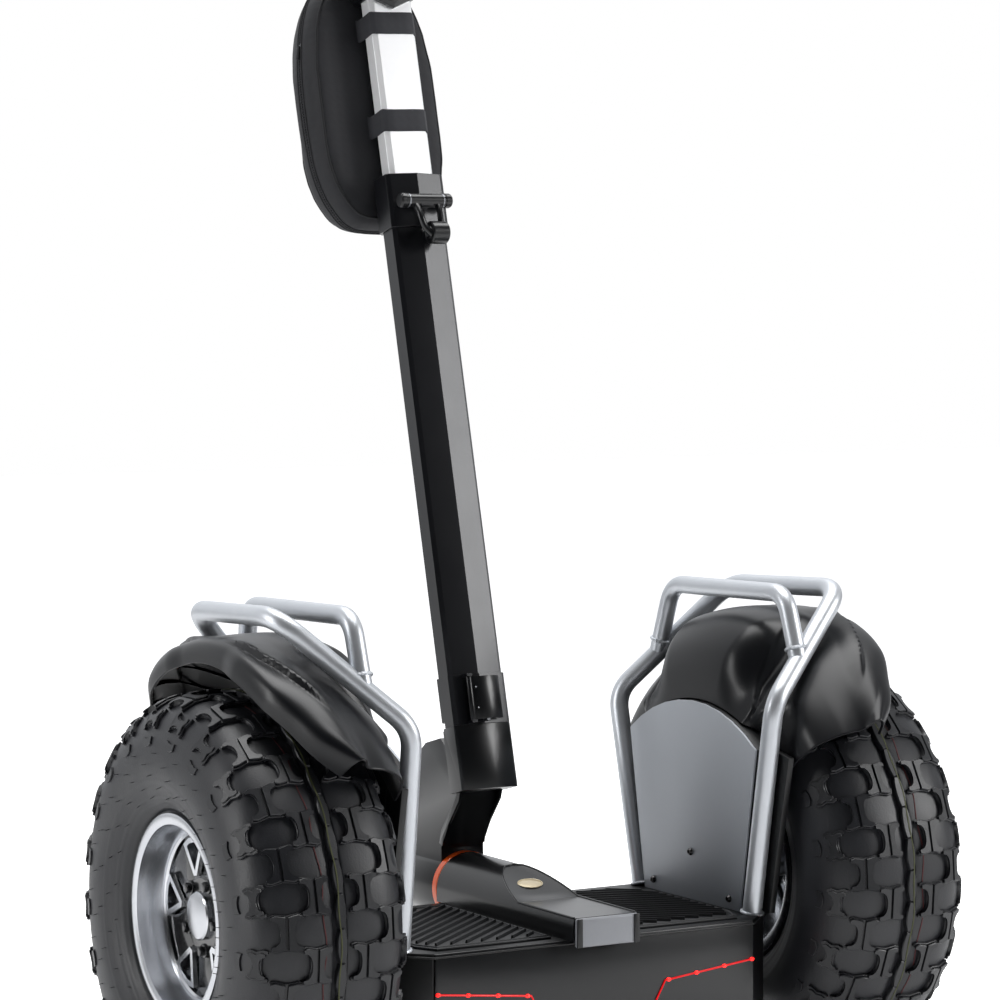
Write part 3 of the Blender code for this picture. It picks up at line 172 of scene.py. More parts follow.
redMark = makeMaterial("redTyreMark", "581c1e", 0.75, mottle=(5, "34181a"), roughSpread=0.05)
batteryWrap = makeMaterial("batteryWrap", "1d3c66", 0.40, mottle=(30, "234878"), roughSpread=0.05)
boardLacquer = makeMaterial("circuitLacquer", "14502c", 0.35, mottle=(8, "1a5c34"), roughSpread=0.06)
print("materials ready")


# ---- shape helpers ----

def meshFrom(work, name):   # the mesh of finished bmesh work
    mesh = bpy.data.meshes.new(name)
    work.to_mesh(mesh)
    work.free()
    return mesh


def smoothTo(shape, degrees):   # smooth shading, with a sharp edge where two faces turn by more than this
    shape.data.shade_smooth()
    shape.data.set_sharp_from_angle(angle=math.radians(degrees))


def gridFaces(rows, width, joinRows=False,
              joinWidth=False):   # the quads of a net of points, listed row by row
    faces = []
    for i in range(rows if joinRows else rows - 1):
        here, ahead = i * width, (i + 1) % rows * width
        for j in range(width if joinWidth else width - 1):
            k = (j + 1) % width
            faces.append((here + j, here + k, ahead + k, ahead + j))
    return faces


def linkObject(name, mesh, material=None, smoothAngle=None):
    shape = bpy.data.objects.new(name, mesh)
    shapes.objects.link(shape)
    if material:
        mesh.materials.clear()
        mesh.materials.append(material)
    if smoothAngle is not None:
        mesh.shade_smooth()
        mesh.set_sharp_from_angle(angle=math.radians(smoothAngle))
    return shape


def meshOf(name, points, faces, material=None, smoothAngle=30.0, fixNormals=False):
    mesh = bpy.data.meshes.new(name)
    mesh.from_pydata([tuple(p) for p in points], [], faces)
    if fixNormals:
        work = bmesh.new()
        work.from_mesh(mesh)
        bmesh.ops.remove_doubles(work, verts=work.verts, dist=1e-6)
        bmesh.ops.recalc_face_normals(work, faces=work.faces)
        work.to_mesh(mesh)
        work.free()
    return linkObject(name, mesh, material, smoothAngle)


def bakeModifiers(shape):   # turns the live modifiers into a plain mesh
    graph = bpy.context.evaluated_depsgraph_get()
    mesh = bpy.data.meshes.new_from_object(shape.evaluated_get(graph))
    shape.modifiers.clear()
    shape.data = mesh
    return shape


def mergeShapes(name, pieces):   # one object from several, materials kept
    work = bmesh.new()
    materials = []
    for piece in pieces:
        offset = {}
        for index, material in enumerate(piece.data.materials):
            if material not in materials:
                materials.append(material)
            offset[index] = materials.index(material)
        before = len(work.faces)
        work.from_mesh(piece.data)
        work.faces.ensure_lookup_table()
        for face in work.faces[before:]:
            face.material_index = offset.get(face.material_index, 0)
    mesh = meshFrom(work, name)
    for material in materials:
        mesh.materials.append(material)
    for piece in pieces:
        bpy.data.objects.remove(piece, do_unlink=True)
    shape = bpy.data.objects.new(name, mesh)
    shapes.objects.link(shape)
    return shape


def cleanCopy(node, name, material, bevel=0.0, segments=2, angle=32.0):
    # A copy of a CAD solid with its flat faces joined again and its edges softly broken
    work = bmesh.new()
    work.from_mesh(cadNodes[node].data)
    bmesh.ops.remove_doubles(work, verts=work.verts, dist=2e-6)
    bmesh.ops.dissolve_limit(work, angle_limit=math.radians(0.6), verts=work.verts, edges=work.edges)
    mesh = meshFrom(work, name)
    shape = linkObject(name, mesh, material)
    if bevel:
        edge = shape.modifiers.new("Edge", "BEVEL")
        edge.width = bevel
        edge.segments = segments
        edge.limit_method = "ANGLE"
        edge.angle_limit = math.radians(angle)
        edge.use_clamp_overlap = True
        bakeModifiers(shape)
    smoothTo(shape, angle)
    return shape


def revolve(name, profile, centre, side, material, steps=96, closed=True, smoothAngle=25.0):
    # profile: (radius, distance outboard) pairs round the wheel axis
    points = []
    for i in range(steps):
        turn = 2 * math.pi * i / steps
        for radius, out in profile:
            points.append((centre.x + side * out, centre.y + radius * math.sin(turn),
                           centre.z + radius * math.cos(turn)))
    return meshOf(name, points, gridFaces(steps, len(profile), True, closed), material, smoothAngle,
                  fixNormals=True)


def roundedPath(points, radius, steps=8):
    points = [Vector(p) for p in points]
    path = [points[0]]
    for before, corner, after in zip(points, points[1:], points[2:]):
        back, ahead = (before - corner).normalized(), (after - corner).normalized()
        half = back.angle(ahead) / 2
        reach = min(radius / math.tan(half), 0.48 * (before - corner).length, 0.48 * (after - corner).length)
        start, end = corner + back * reach, corner + ahead * reach
        for i in range(steps + 1):
            t = i / steps
            path.append(start * (1 - t) ** 2 + corner * 2 * t * (1 - t) + end * t ** 2)
    path.append(points[-1])
    return path


def sweep(name, path, radius, material, sections=28, closedLoop=False, radii=None, cap=True):
    path = [Vector(p) for p in path]
    count = len(path)
    points = []
    normal = None
    for i, here in enumerate(path):
        if closedLoop:
            ahead = (path[(i + 1) % count] - path[i - 1]).normalized()
        else:
            ahead = (path[min(i + 1, count - 1)] - path[max(i - 1, 0)]).normalized()
        if normal is None:
            seed = Vector((1, 0, 0)) if abs(ahead.x) < 0.8 else Vector((0, 0, 1))
            normal = (seed - ahead * seed.dot(ahead)).normalized()
        else:
            normal = (normal - ahead * normal.dot(ahead)).normalized()
        across = ahead.cross(normal)
        r = radii[i] if radii else radius
        for k in range(sections):
            turn = 2 * math.pi * k / sections
            points.append(here + (normal * math.cos(turn) + across * math.sin(turn)) * r)
    faces = gridFaces(count, sections, closedLoop, True)
    if cap and not closedLoop:
        faces.append(tuple(reversed(range(sections))))
        faces.append(tuple((count - 1) * sections + k for k in range(sections)))
    return meshOf(name, points, faces, material, 40.0, fixNormals=True)


def prism(name, outline, thickness, matrix, material, bevel=0.0, segments=2, smoothAngle=30.0):
    # An outline in its own XY plane, thickness along Z about the middle
    work = bmesh.new()
    low = [work.verts.new(matrix @ Vector((u, v, -thickness / 2))) for u, v in outline]
    high = [work.verts.new(matrix @ Vector((u, v, thickness / 2))) for u, v in outline]
    count = len(outline)
    work.faces.new(low[::-1])
    work.faces.new(high)
    for i in range(count):
        work.faces.new((low[i], low[(i + 1) % count], high[(i + 1) % count], high[i]))
    bmesh.ops.recalc_face_normals(work, faces=work.faces)
    if bevel:
        sharp = [e for e in work.edges if len(e.link_faces) == 2 and e.calc_face_angle(0) > math.radians(28)]
        bmesh.ops.bevel(work, geom=sharp, offset=bevel, segments=segments, affect="EDGES", profile=0.5,
                        clamp_overlap=True)
    mesh = meshFrom(work, name)
    return linkObject(name, mesh, material, smoothAngle)


def repeatRound(name, tile, count, centre, material):
    # Geometry Nodes: the tile turned about the wheel axis as often as count says
    tree = bpy.data.node_groups.new(name + "Pattern", "GeometryNodeTree")
    tree.interface.new_socket("Geometry", in_out="INPUT", socket_type="NodeSocketGeometry")
    countSocket = tree.interface.new_socket("Pitches round", in_out="INPUT", socket_type="NodeSocketInt")
    centreSocket = tree.interface.new_socket("Wheel centre", in_out="INPUT", socket_type="NodeSocketVector")
    tree.interface.new_socket("Geometry", in_out="OUTPUT", socket_type="NodeSocketGeometry")
    source = addNode(tree, "NodeGroupInput")
    line = addNode(tree, "GeometryNodePoints", links={"Count": source.outputs["Pitches round"],
                                                     "Position": source.outputs["Wheel centre"]})
    index = addNode(tree, "GeometryNodeInputIndex")
    part = addNode(tree, "ShaderNodeMath", {"operation": "DIVIDE"},
                   {0: index.outputs[0], 1: source.outputs["Pitches round"]})
    turn = addNode(tree, "ShaderNodeMath", {"operation": "MULTIPLY", 1: 2 * math.pi}, {0: part.outputs[0]})
    angles = addNode(tree, "ShaderNodeCombineXYZ", links={"X": turn.outputs[0]})
    back = addNode(tree, "ShaderNodeVectorMath", {"operation": "SCALE", "Scale": -1.0},
                   {0: source.outputs["Wheel centre"]})
    centred = addNode(tree, "GeometryNodeTransform",
                      links={"Geometry": source.outputs["Geometry"], "Translation": back.outputs[0]})
    copies = addNode(tree, "GeometryNodeInstanceOnPoints", links={
        "Points": line.outputs[0], "Instance": centred.outputs[0], "Rotation": angles.outputs[0]})
    real = addNode(tree, "GeometryNodeRealizeInstances", links={"Geometry": copies.outputs[0]})
    paint = addNode(tree, "GeometryNodeSetMaterial", {"Material": material}, {"Geometry": real.outputs[0]})
    addNode(tree, "NodeGroupOutput", links={"Geometry": paint.outputs[0]})
    spread = tile.modifiers.new("Repeat", "NODES")
    spread.node_group = tree
    spread[countSocket.identifier] = count
    spread[centreSocket.identifier] = tuple(centre)
    bakeModifiers(tile)
    tile.data.materials.clear()
    tile.data.materials.append(material)
    tile.name = name
    return tile


# ---- tyres ----

tyre = dict(pitches=21, boneLength=0.041, footWidth=0.034, waist=0.0135, lugHeight=0.0062, stepHeight=0.0034,
            slit=0.0024, columns=((0.0285, 0.5), (0.0595, 0.0)), shoulder=0.0905, ribWidth=0.0125,
            whiskerLength=0.005)
treadRadius = 0.2358   # where distances round the tread are measured
ground = [(0.2335, 0.0), (0.2335, 0.0075), (0.2346, 0.0095), (0.2352, 0.022), (0.2342, 0.040),
          (0.2312, 0.056), (0.2250, 0.0700),
          (0.2160, 0.0805), (0.2045, 0.0880), (0.1900, 0.0935), (0.1720, 0.0960), (0.1560, 0.0955),
          (0.1420, 0.0920),
          (0.1300, 0.0865), (0.1230, 0.0830), (0.1165, 0.0765), (0.1134, 0.0735), (0.1025, 0.0730)]


def smoothLine(points, steps=5):   # Catmull-Rom through the points
    line = []
    for i in range(len(points) - 1):
        p = [Vector(points[max(0, min(len(points) - 1, i + k))]) for k in (-1, 0, 1, 2)]
        for s in range(steps):
            t = s / steps
            line.append(0.5 * (2 * p[1] + (p[2] - p[0]) * t + (2 * p[0] - 5 * p[1] + 4 * p[2] - p[3]) * t ** 2
                               + (3 * p[1] - p[0] - 3 * p[2] + p[3]) * t ** 3))
    return line + [Vector(points[-1])]


groundLine = smoothLine(ground)
groundRun = [0.0]
for earlier, later in zip(groundLine, groundLine[1:]):
    groundRun.append(groundRun[-1] + (later - earlier).length)


def treadPoint(centre, side, across, along, height):
    # across: over the tread from its middle; along: round it; height: above the ground between the lugs
    reach = abs(across)
    k = max(1, min(len(groundRun) - 1, next((i for i, run in enumerate(groundRun) if run >= reach),
                                            len(groundRun) - 1)))
    t = (reach - groundRun[k - 1]) / (groundRun[k] - groundRun[k - 1])
    here = groundLine[k - 1].lerp(groundLine[k], t)
    ahead = (groundLine[min(k + 2, len(groundLine) - 1)] - groundLine[max(k - 3, 0)]).normalized()
    normal = Vector((ahead.y, -ahead.x))
    if normal.x < 0 and reach < 0.1:
        normal = -normal
    radius, out = here.x + normal.x * height, here.y + normal.y * height
    out = math.copysign(out, across) if across else 0.0
    turn = along / treadRadius
    return Vector((centre.x + side * out, centre.y + radius * math.sin(turn),
                   centre.z + radius * math.cos(turn)))


def boneOutline(halfLength, foot, waist, part="whole", slit=0.0):
    right = [(foot / 2 - 0.0045, halfLength), (foot / 2, halfLength - 0.0015),
             (foot / 2, halfLength - 0.0045)]
    for i in range(1, 8):
        turn = math.pi * i / 8
        right.append((foot / 2 - (foot - waist) / 2 * math.sin(turn) ** 0.8,
                      (halfLength - 0.0045) * math.cos(turn)))
    right += [(foot / 2, -halfLength + 0.0045), (foot / 2, -halfLength + 0.0015),
              (foot / 2 - 0.0045, -halfLength)]
    if part == "right":
        return [(slit / 2, halfLength - 0.0022)] + right + [(slit / 2, -halfLength + 0.0022)]
    return [(0.0, halfLength - 0.0022)] + right + [(0.0, -halfLength + 0.0022)] + [(-u, v) for u,
            v in reversed(right)]


def raiseLug(work, centre, side, outline, middle, levels):
    # levels: (height, how much smaller) rings from the ground up to the top
    cx = sum(u for u, v in outline) / len(outline)
    cy = sum(v for u, v in outline) / len(outline)
    rings = []
    for height, shrink in levels:
        ring = []
        for u, v in outline:
            du, dv = u - cx, v - cy
            length = max(math.hypot(du, dv), 1e-6)
            keep = max(0.0, 1 - shrink / length)
            ring.append(work.verts.new(treadPoint(centre, side, middle[0] + cx + du * keep,
                                                  middle[1] + cy + dv * keep, height)))
        rings.append(ring)
    for low, high in zip(rings, rings[1:]):
        for i in range(len(low)):
            j = (i + 1) % len(low)
            work.faces.new((low[i], low[j], high[j], high[i]))
    work.faces.new(rings[-1])


def buildTread(word, side, centre):
    pitch = 2 * math.pi * treadRadius / tyre["pitches"]
    work = bmesh.new()
    whole = boneOutline(tyre["boneLength"] / 2, tyre["footWidth"], tyre["waist"])
    half = boneOutline(tyre["boneLength"] / 2 - 0.0014, tyre["footWidth"] - 0.0034,
                       tyre["waist"] - 0.0026, "right", tyre["slit"])
    mirrorHalf = [(-u, v) for u, v in reversed(half)]
    low, high = tyre["stepHeight"], tyre["lugHeight"]
    for hand in (-1, 1):
        for across, shift in tyre["columns"]:
            middle = (hand * across, shift * pitch)
            raiseLug(work, centre, side, whole, middle, [(-0.002, 0.0), (low - 0.0006, 0.0), (low, 0.0006)])
            for outline in (half, mirrorHalf):
                raiseLug(work, centre, side, outline, middle,
                         [(low - 0.001, 0.0), (high - 0.0008, 0.0), (high, 0.0008)])
        middle = (hand * tyre["shoulder"],
                  0.5 * pitch)   # the shoulder carries the inner half of a bone and a side tab
        small = boneOutline(tyre["boneLength"] / 2 - 0.002, 0.024, 0.010)
        raiseLug(work, centre, side, small, middle, [(-0.002, 0.0), (low - 0.0006, 0.0), (low, 0.0006)])
        inset = boneOutline(tyre["boneLength"] / 2 - 0.005, 0.019, 0.0065)
        raiseLug(work, centre, side, inset, middle,
                 [(low - 0.001, 0.0), (high - 0.0022, 0.0), (high - 0.0014, 0.0008)])
        tab = [(0.004, 0.011), (0.0065, 0.004), (0.0065, -0.004), (0.004, -0.011), (-0.004, -0.011),
               (-0.002, -0.004), (-0.002, 0.004),
               (-0.004, 0.011)]
        raiseLug(work, centre, side, tab, (hand * (tyre["shoulder"] + 0.024), 0.5 * pitch),
                 [(-0.001, 0.0), (0.0015, 0.0), (0.002, 0.0006)])
    for number in range(2):   # the middle rib is a chain of long lenses
        lens = []
        for t in (i / 6 for i in range(7)):
            lens.append(((0.45 + 0.55 * math.sin(math.pi * t)) * tyre["ribWidth"] / 2,
                         (t - 0.5) * pitch * 0.497))
        outline = lens + [(-u, v) for u, v in reversed(lens)]
        raiseLug(work, centre, side, outline, (0.0, (number + 0.5) * pitch / 2),
                 [(-0.003, 0.0), (high - 0.0010, 0.0), (high + 0.0003, 0.0012)])
    for across, along in ((0.128, 0.10), (0.152, 0.42), (0.176, 0.75), (0.140, 0.62), (0.165, 0.05)):
        root = treadPoint(centre, side, across, along * pitch, 0.0)
        tip = treadPoint(centre, side, across, along * pitch + 0.0012, tyre["whiskerLength"])
        axis = (tip - root).normalized()
        edge = axis.orthogonal().normalized() * 0.0005
        rings = [[work.verts.new(p + Matrix.Rotation(2 * math.pi * k / 4, 3,
                                                     axis) @ edge * s) for k in range(4)]
                 for p, s in ((root, 1.0), (tip, 0.6))]
        for k in range(4):
            work.faces.new((rings[0][k], rings[0][(k + 1) % 4], rings[1][(k + 1) % 4], rings[1][k]))
        work.faces.new(rings[1])
    bmesh.ops.recalc_face_normals(work, faces=work.faces)
    mesh = meshFrom(work, "treadTile")
    tile = linkObject("treadTile" + word, mesh, lugRubber)
    tread = repeatRound("tyre_lugs_" + word, tile, tyre["pitches"], centre, lugRubber)
    smoothTo(tread, 28)
    return tread


def buildTyreMarks(word, side, centre):
    marks = []
    steps = 252
    for name, across, width, height, sway, material in (("yellow", 0.0022, 0.0014, 0.0067, 0.0010,
                                                         yellowMark),
                                                        ("red", 0.0185, 0.0013, 0.0004, 0.0016, redMark)):
        points, faces = [], []
        for i in range(steps):
            turn = 2 * math.pi * i / steps
            middle = across + sway * math.sin(turn * tyre["pitches"])
            for edge in (-1, 1):
                points.append(treadPoint(centre, side, middle + edge * width / 2, turn * treadRadius, height))
        for i in range(steps):
            j = (i + 1) % steps
            faces.append((2 * i, 2 * i + 1, 2 * j + 1, 2 * j))
        mark = meshOf("tyre_mark_" + name + "_" + word, points, faces, material, None)
        wall = mark.modifiers.new("Film", "SOLIDIFY")
        wall.thickness = 0.0003
        bakeModifiers(mark)
        marks.append(mark)
    return marks


def buildTyre(word, side, centre):
    outer = [(p.x, p.y) for p in groundLine]
    rings = (0.1480, 0.1300, 0.1180)   # radii of the fine moulded lines round the sidewall
    detailed = []
    for radius, out in outer:
        lift = sum(0.0008 * math.exp(-((radius - r) / 0.0012) ** 2) for r in rings) if out > 0.07 else 0.0
        detailed.append((radius, out + lift))
    inner = [(0.1025, 0.0620), (0.1250, 0.0760), (0.1650, 0.0910), (0.2060, 0.0790), (0.2240, 0.0500),
             (0.2270, 0.0)]
    loop = detailed + inner[:-1] + [(r, -h) for r, h in reversed(inner[:-1])] + [(r, -h) for r,
            h in reversed(detailed[1:])]
    carcass = revolve("tyre_body_" + word, loop, centre, side, tyreRubber, 120, True, 35.0)
    tread = buildTread(word, side, centre)
    for piece in [carcass, tread] + buildTyreMarks(word, side, centre):
        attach(piece, "wheel_" + word)
        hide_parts("tyre_" + word)


# ---- rims ----

rim = dict(face=0.0475, spokes=5, firstAngle=9.0, windowApex=0.043, windowOuter=0.0815, windowHalf=0.0245,
           frameWidth=0.0058,
           frameRise=0.0028, boltCircle=0.0375, boltRadius=0.0058, capRadius=0.0262)


def wheelFrame(centre, side):   # local x, y in the wheel's plane and z outboard
    return Matrix.Translation(centre) @ Matrix(((0, 0, side, 0), (side, 0, 0, 0), (0, 1, 0, 0), (0, 0, 0, 1)))


def ribbonOf(corners, width):
    # The band just inside a closed outline, as one quad strip per side
    count = len(corners)
    inner = []
    for i in range(count):
        a, b, c = Vector(corners[i - 1]), Vector(corners[i]), Vector(corners[(i + 1) % count])
        n1 = Vector((-(b - a).y, (b - a).x)).normalized()
        n2 = Vector((-(c - b).y, (c - b).x)).normalized()
        middle = (n1 + n2).normalized()
        inner.append(b + middle * min(width / max(middle.dot(n1), 0.3), width * 2.6))
    return [[corners[i], corners[(i + 1) % count], tuple(inner[(i + 1) % count]),
             tuple(inner[i])] for i in range(count)]


def buildRim(word, side, centre):
    face = rim["face"]
    barrel = [(0.1121, 0.0780), (0.1121, 0.0745), (0.1085, 0.0733), (0.1030, 0.0728), (0.1016, 0.0690),
              (0.1016, 0.0), (0.1016, -0.0690),
              (0.1030, -0.0728), (0.1085, -0.0733), (0.1121, -0.0745), (0.1121, -0.0780),
              (0.1095, -0.0786), (0.1040, -0.0782),
              (0.0985, -0.0760), (0.0972, -0.0700), (0.0960, -0.0200), (0.0945, face - 0.010),
              (0.0945, face), (0.0952, face + 0.0012),
              (0.0962, 0.0600), (0.0985, 0.0690), (0.1000, 0.0768), (0.1040, 0.0786), (0.1095, 0.0788)]
    lip = revolve("rim_barrel_" + word, barrel, centre, side, turnedAluminium, 128, True, 28.0)
    ringSection = [(0.0950, face - 0.002), (0.0950, face + 0.0010), (0.0905, face + 0.0010),
                   (0.0885, face - 0.0012),
                   (0.0885, face - 0.009), (0.0950, face - 0.009)]
    ring = revolve("ringFace", ringSection, centre, side, milledAluminium, 96, True, 25.0)
    hubSection = [(0.0120, face - 0.002), (0.0400, face - 0.002), (0.0440, face - 0.004),
                  (0.0440, face - 0.013),
                  (0.0120, face - 0.013)]
    black = revolve("hubFace", hubSection, centre, side, wheelEnamel, 72, True, 25.0)
    frameMatrix = wheelFrame(centre, side)
    apex, outer, half = rim["windowApex"], rim["windowOuter"], rim["windowHalf"]
    window = [(apex, -0.0035), (outer - 0.004, -half), (outer + 0.002, -half * 0.45),
              (outer + 0.003, 0.0), (outer + 0.002, half * 0.45), (outer - 0.004, half),
              (apex, 0.0035)]
    pieces = []
    bands = ribbonOf(window, rim["frameWidth"])
    upright = frameMatrix @ Matrix.Rotation(math.pi / 2, 4, "Z")
    bandAt = upright @ Matrix.Translation((0, 0, face - 0.0025))
    tileParts = [prism("band", band, rim["frameRise"] + 0.007, bandAt, milledAluminium,
                       0.0) for band in bands]
    silverTile = turnTile(mergeShapes("spokeFrames", tileParts), centre, rim["firstAngle"] * side)
    silverTile = repeatRound("rim_spokes_" + word, silverTile, rim["spokes"], centre, milledAluminium)
    gap = 2 * math.pi / rim["spokes"]
    channel = [(0.040, 0.52), (0.060, 0.36), (0.078, 0.33), (0.0930, 0.40)]   # (radius, half angle)
    outline = [(r * math.cos(gap / 2 - a), r * math.sin(gap / 2 - a)) for r, a in channel] + \
              [(r * math.cos(gap / 2 + a), r * math.sin(gap / 2 + a)) for r, a in reversed(channel)]
    channelAt = upright @ Matrix.Translation((0, 0, face - 0.0078))
    blackParts = [prism("channel", outline, 0.0085, channelAt, wheelEnamel, 0.0008)]
    boltSpot = (rim["boltCircle"] * math.cos(gap / 2), rim["boltCircle"] * math.sin(gap / 2), face + 0.0015)
    boltAt = upright @ Matrix.Translation(boltSpot)
    hexagon = [(rim["boltRadius"] * math.cos(math.pi * k / 3),
                rim["boltRadius"] * math.sin(math.pi * k / 3)) for k in range(6)]
    blackParts.append(prism("bolt", hexagon, 0.0080, boltAt, wheelEnamel, 0.0008))
    collar = [(0.0078 * math.cos(math.pi * k / 10), 0.0078 * math.sin(math.pi * k / 10)) for k in range(20)]
    blackParts.append(prism("collar", collar, 0.0030, boltAt @ Matrix.Translation((0, 0, -0.0030)),
                            wheelEnamel, 0.0006))
    blackTile = turnTile(mergeShapes("blackSpokes", blackParts), centre, rim["firstAngle"] * side)
    blackTile = repeatRound("rim_channels_" + word, blackTile, rim["spokes"], centre, wheelEnamel)
    capSection = [(0.0001, face + 0.0068), (0.0060, face + 0.0067), (0.0180, face + 0.0058),
                  (0.0245, face + 0.0045),
                  (rim["capRadius"], face + 0.0030), (rim["capRadius"], face - 0.002), (0.0001, face - 0.002)]
    cap = revolve("rim_hub_disc_" + word, capSection, centre, side, turnedAluminium, 72, True, 25.0)
    faceParts = mergeShapes("rim_face_" + word, [ring, black])
    for piece in (lip, silverTile, blackTile, faceParts):
        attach(piece, "wheel_" + word)
        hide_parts("rim_" + word)
    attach(cap, "wheel_" + word)
    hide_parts("hub_cap_" + word)


def turnTile(tile, centre, degrees):
    tile.data.transform(Matrix.Translation(centre) @ Matrix.Rotation(math.radians(degrees), 4,
                                                                     "X") @ Matrix.Translation(-centre))
    return tile


for word, side in sides:
    wheelCentre = Vector((side * wheelX, axleY, axleZ))
    buildTyre(word, side, wheelCentre)
    buildRim(word, side, wheelCentre)
print("wheels ready")


def lerpTable(table, at):   # straight lines between (at, value) pairs
    if at <= table[0][0]:
        return table[0][1]
    for (a, va), (b, vb) in zip(table, table[1:]):
        if at <= b:
            return va + (vb - va) * (at - a) / (b - a)
    return table[-1][1]


def fade(a, b, at):   # 0 before a, 1 after b
    t = min(1.0, max(0.0, (at - a) / (b - a)))
    return t * t * (3 - 2 * t)


# ---- fenders ----

fender = dict(crown=0.297, endDrop=0.010, edge=0.398, tipEdge=0.336, lip=0.027, middle=-3.0, sweep=53.0,
              wall=0.003, step=0.5,
              crestRise=0.0062, lipRise=0.0045, tipRise=0.0050, slitDepth=0.0060, ribRise=0.0028)
plateArc = dict(half=0.1320, corner=0.392, peak=0.436)
crestLine = [(0, 0.384), (8, 0.381), (18, 0.375), (27, 0.359), (34, 0.343), (40, 0.328)]
crestFoot = [(0, 0.346), (13, 0.346), (22, 0.343), (28, 0.333), (33, 0.326), (40, 0.3245)]
slitLine = [(0.238, 28.5), (0.243, 26.8), (0.255, 24.0), (0.275, 21.5), (0.295, 19.0), (0.335, 14.0)]
slitWidth = [(0.238, 0.8), (0.243, 2.4), (0.255, 3.6), (0.275, 4.0), (0.295, 4.2), (0.335, 2.5)]


def archEdge(angle):   # radius about the axle of the arched side's top edge
    rise = plateArc["peak"] - plateArc["corner"]
    radius = (plateArc["half"] ** 2 + rise ** 2) / (2 * rise)
    drop = axleZ - (plateArc["peak"] - radius)
    radius += 0.0013
    return -drop * math.cos(angle) + math.sqrt(radius ** 2 - (drop * math.sin(angle)) ** 2)


def fenderSection(back):
    off = abs(back - fender["middle"]) / fender["sweep"]
    dome = 1.0 if off < 0.25 else max(0.0, 1.0 - (off - 0.25) / 0.25)
    dome = dome * dome * (3 - 2 * dome)
    inner = archEdge(math.radians(back))
    crown = fender["crown"] - fender["endDrop"] * off ** 2
    edge = fender["edge"] - (fender["edge"] - fender["tipEdge"]) * off ** 4
    start = 0.2290 + 0.0245 * min(1.0, max(0.0, (off - 0.58) / 0.14))
    full = [(start, inner), (0.2330, 0.238), (0.2450, 0.266), (0.2700, 0.288), (0.3050, crown)]
    hip = [(start, inner), (max(start, 0.2400) + 0.002, 0.224), (0.2640, 0.246), (0.2880, 0.265),
           (0.3120, crown - 0.014)]
    points = [(hx + (fx - hx) * dome, hr + (fr - hr) * dome) for (fx, fr), (hx, hr) in zip(full, hip)]
    return points + [((0.3120 + edge) / 2, crown), (edge - 0.006, crown - 0.005),
                     (edge, crown - fender["lip"])], edge


def fenderLift(back, x, edge):
    away = back if back > 0 else -back - 4.0   # the front is styled as the rear is
    lift = 0.0
    crest, foot = lerpTable(crestLine, away), lerpTable(crestFoot, away)
    rise = fender["crestRise"] * fade(1.0, 12.0, away) * (1 - fade(27.0, 40.0, away))
    if x < crest:
        lift += rise * min(1.0, max(0.0, (x - foot) / max(crest - foot, 0.001))) ** 1.3
    else:
        lift += rise * (1 - min(1.0, (x - crest) / 0.0032))
    second = fender["lipRise"] * fade(8.0, 16.0, away) * (1 - fade(28.0, 37.0, away))
    lift += second * max(0.0, (x - crest - 0.0035) / max(edge - crest - 0.0035,
                                                         0.002)) ** 1.3 if x > crest + 0.0035 else 0.0
    third = fender["tipRise"] * fade(37.0, 46.0, away)
    lift += third * max(0.0, (x - edge + 0.022) / 0.022)
    if x < 0.335:
        middle, width = lerpTable(slitLine, x), lerpTable(slitWidth, x)
        depth = fender["slitDepth"] * (1 - fade(0.300, 0.335, x)) * fade(0.232, 0.242, x)
        across = (away - middle) / width
        if -1 < across < 1:
            lift -= depth * fade(-1.0, -0.35, across) * (1 - fade(-0.35, 1.0, across))
    return lift


def buildFender(word, side, centre):
    backs = []
    back = fender["middle"] - fender["sweep"]
    while back < fender["middle"] + fender["sweep"]:
        backs.append(back)
        back += fender["step"]
    backs.append(fender["middle"] + fender["sweep"])
    rows = []
    for back in backs:
        raw, edge = fenderSection(back)
        line = smoothLine(raw, 16)
        row = []
        for i, here in enumerate(line):
            ahead = (line[min(i + 1, len(line) - 1)] - line[max(i - 1, 0)]).normalized()
            normal = Vector((-ahead.y, ahead.x))
            lift = fenderLift(back, here.x, edge)
            row.append((here.x + normal.x * lift, here.y + normal.y * lift))
        rows.append(row)
    angle = [math.radians(b) for b in backs]
    points = [(centre.x + side * (x - wheelX), centre.y - r * math.sin(a),
               centre.z + r * math.cos(a)) for a, row in zip(angle, rows) for x, r in row]
    width = len(rows[0])
    faces = [face if side < 0 else face[::-1] for face in gridFaces(len(rows), width)]
    shell = meshOf("fender_shell_" + word, points, faces, mouldedFender, None)
    wall = shell.modifiers.new("Wall", "SOLIDIFY")
    wall.thickness = fender["wall"]
    wall.offset = 0.0
    edge = shell.modifiers.new("Edge", "BEVEL")
    edge.width = 0.0009
    edge.segments = 2
    edge.limit_method = "ANGLE"
    edge.angle_limit = math.radians(60)
    bakeModifiers(shell)
    smoothTo(shell, 48)
    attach(shell, "chassis")
    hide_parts("fender_" + word)
    ribs = []
    for back in [-50, -43.5, -37, -30.5, -24, 27, 33.5, 40]:   # stiffening ribs under the ends
        raw, edge = fenderSection(back)
        line = [p for p in smoothLine(raw, 6) if p.x > 0.300]
        path = [Vector((centre.x + side * (p.x - wheelX),
                        centre.y - (p.y - 0.0022) * math.sin(math.radians(back)),
                        centre.z + (p.y - 0.0022) * math.cos(math.radians(back)))) for p in line[:-3]]
        ribs.append(sweep("rib", path, fender["ribRise"] / 2, mouldedFender, 8))
    rib = mergeShapes("fender_ribs_" + word, ribs)
    rib.data.shade_smooth()
    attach(rib, "chassis")
    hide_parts("fender_" + word)


for word, side in sides:
    buildFender(word, side, Vector((side * wheelX, axleY, axleZ)))
print("fenders ready")


# ---- roll bars ----

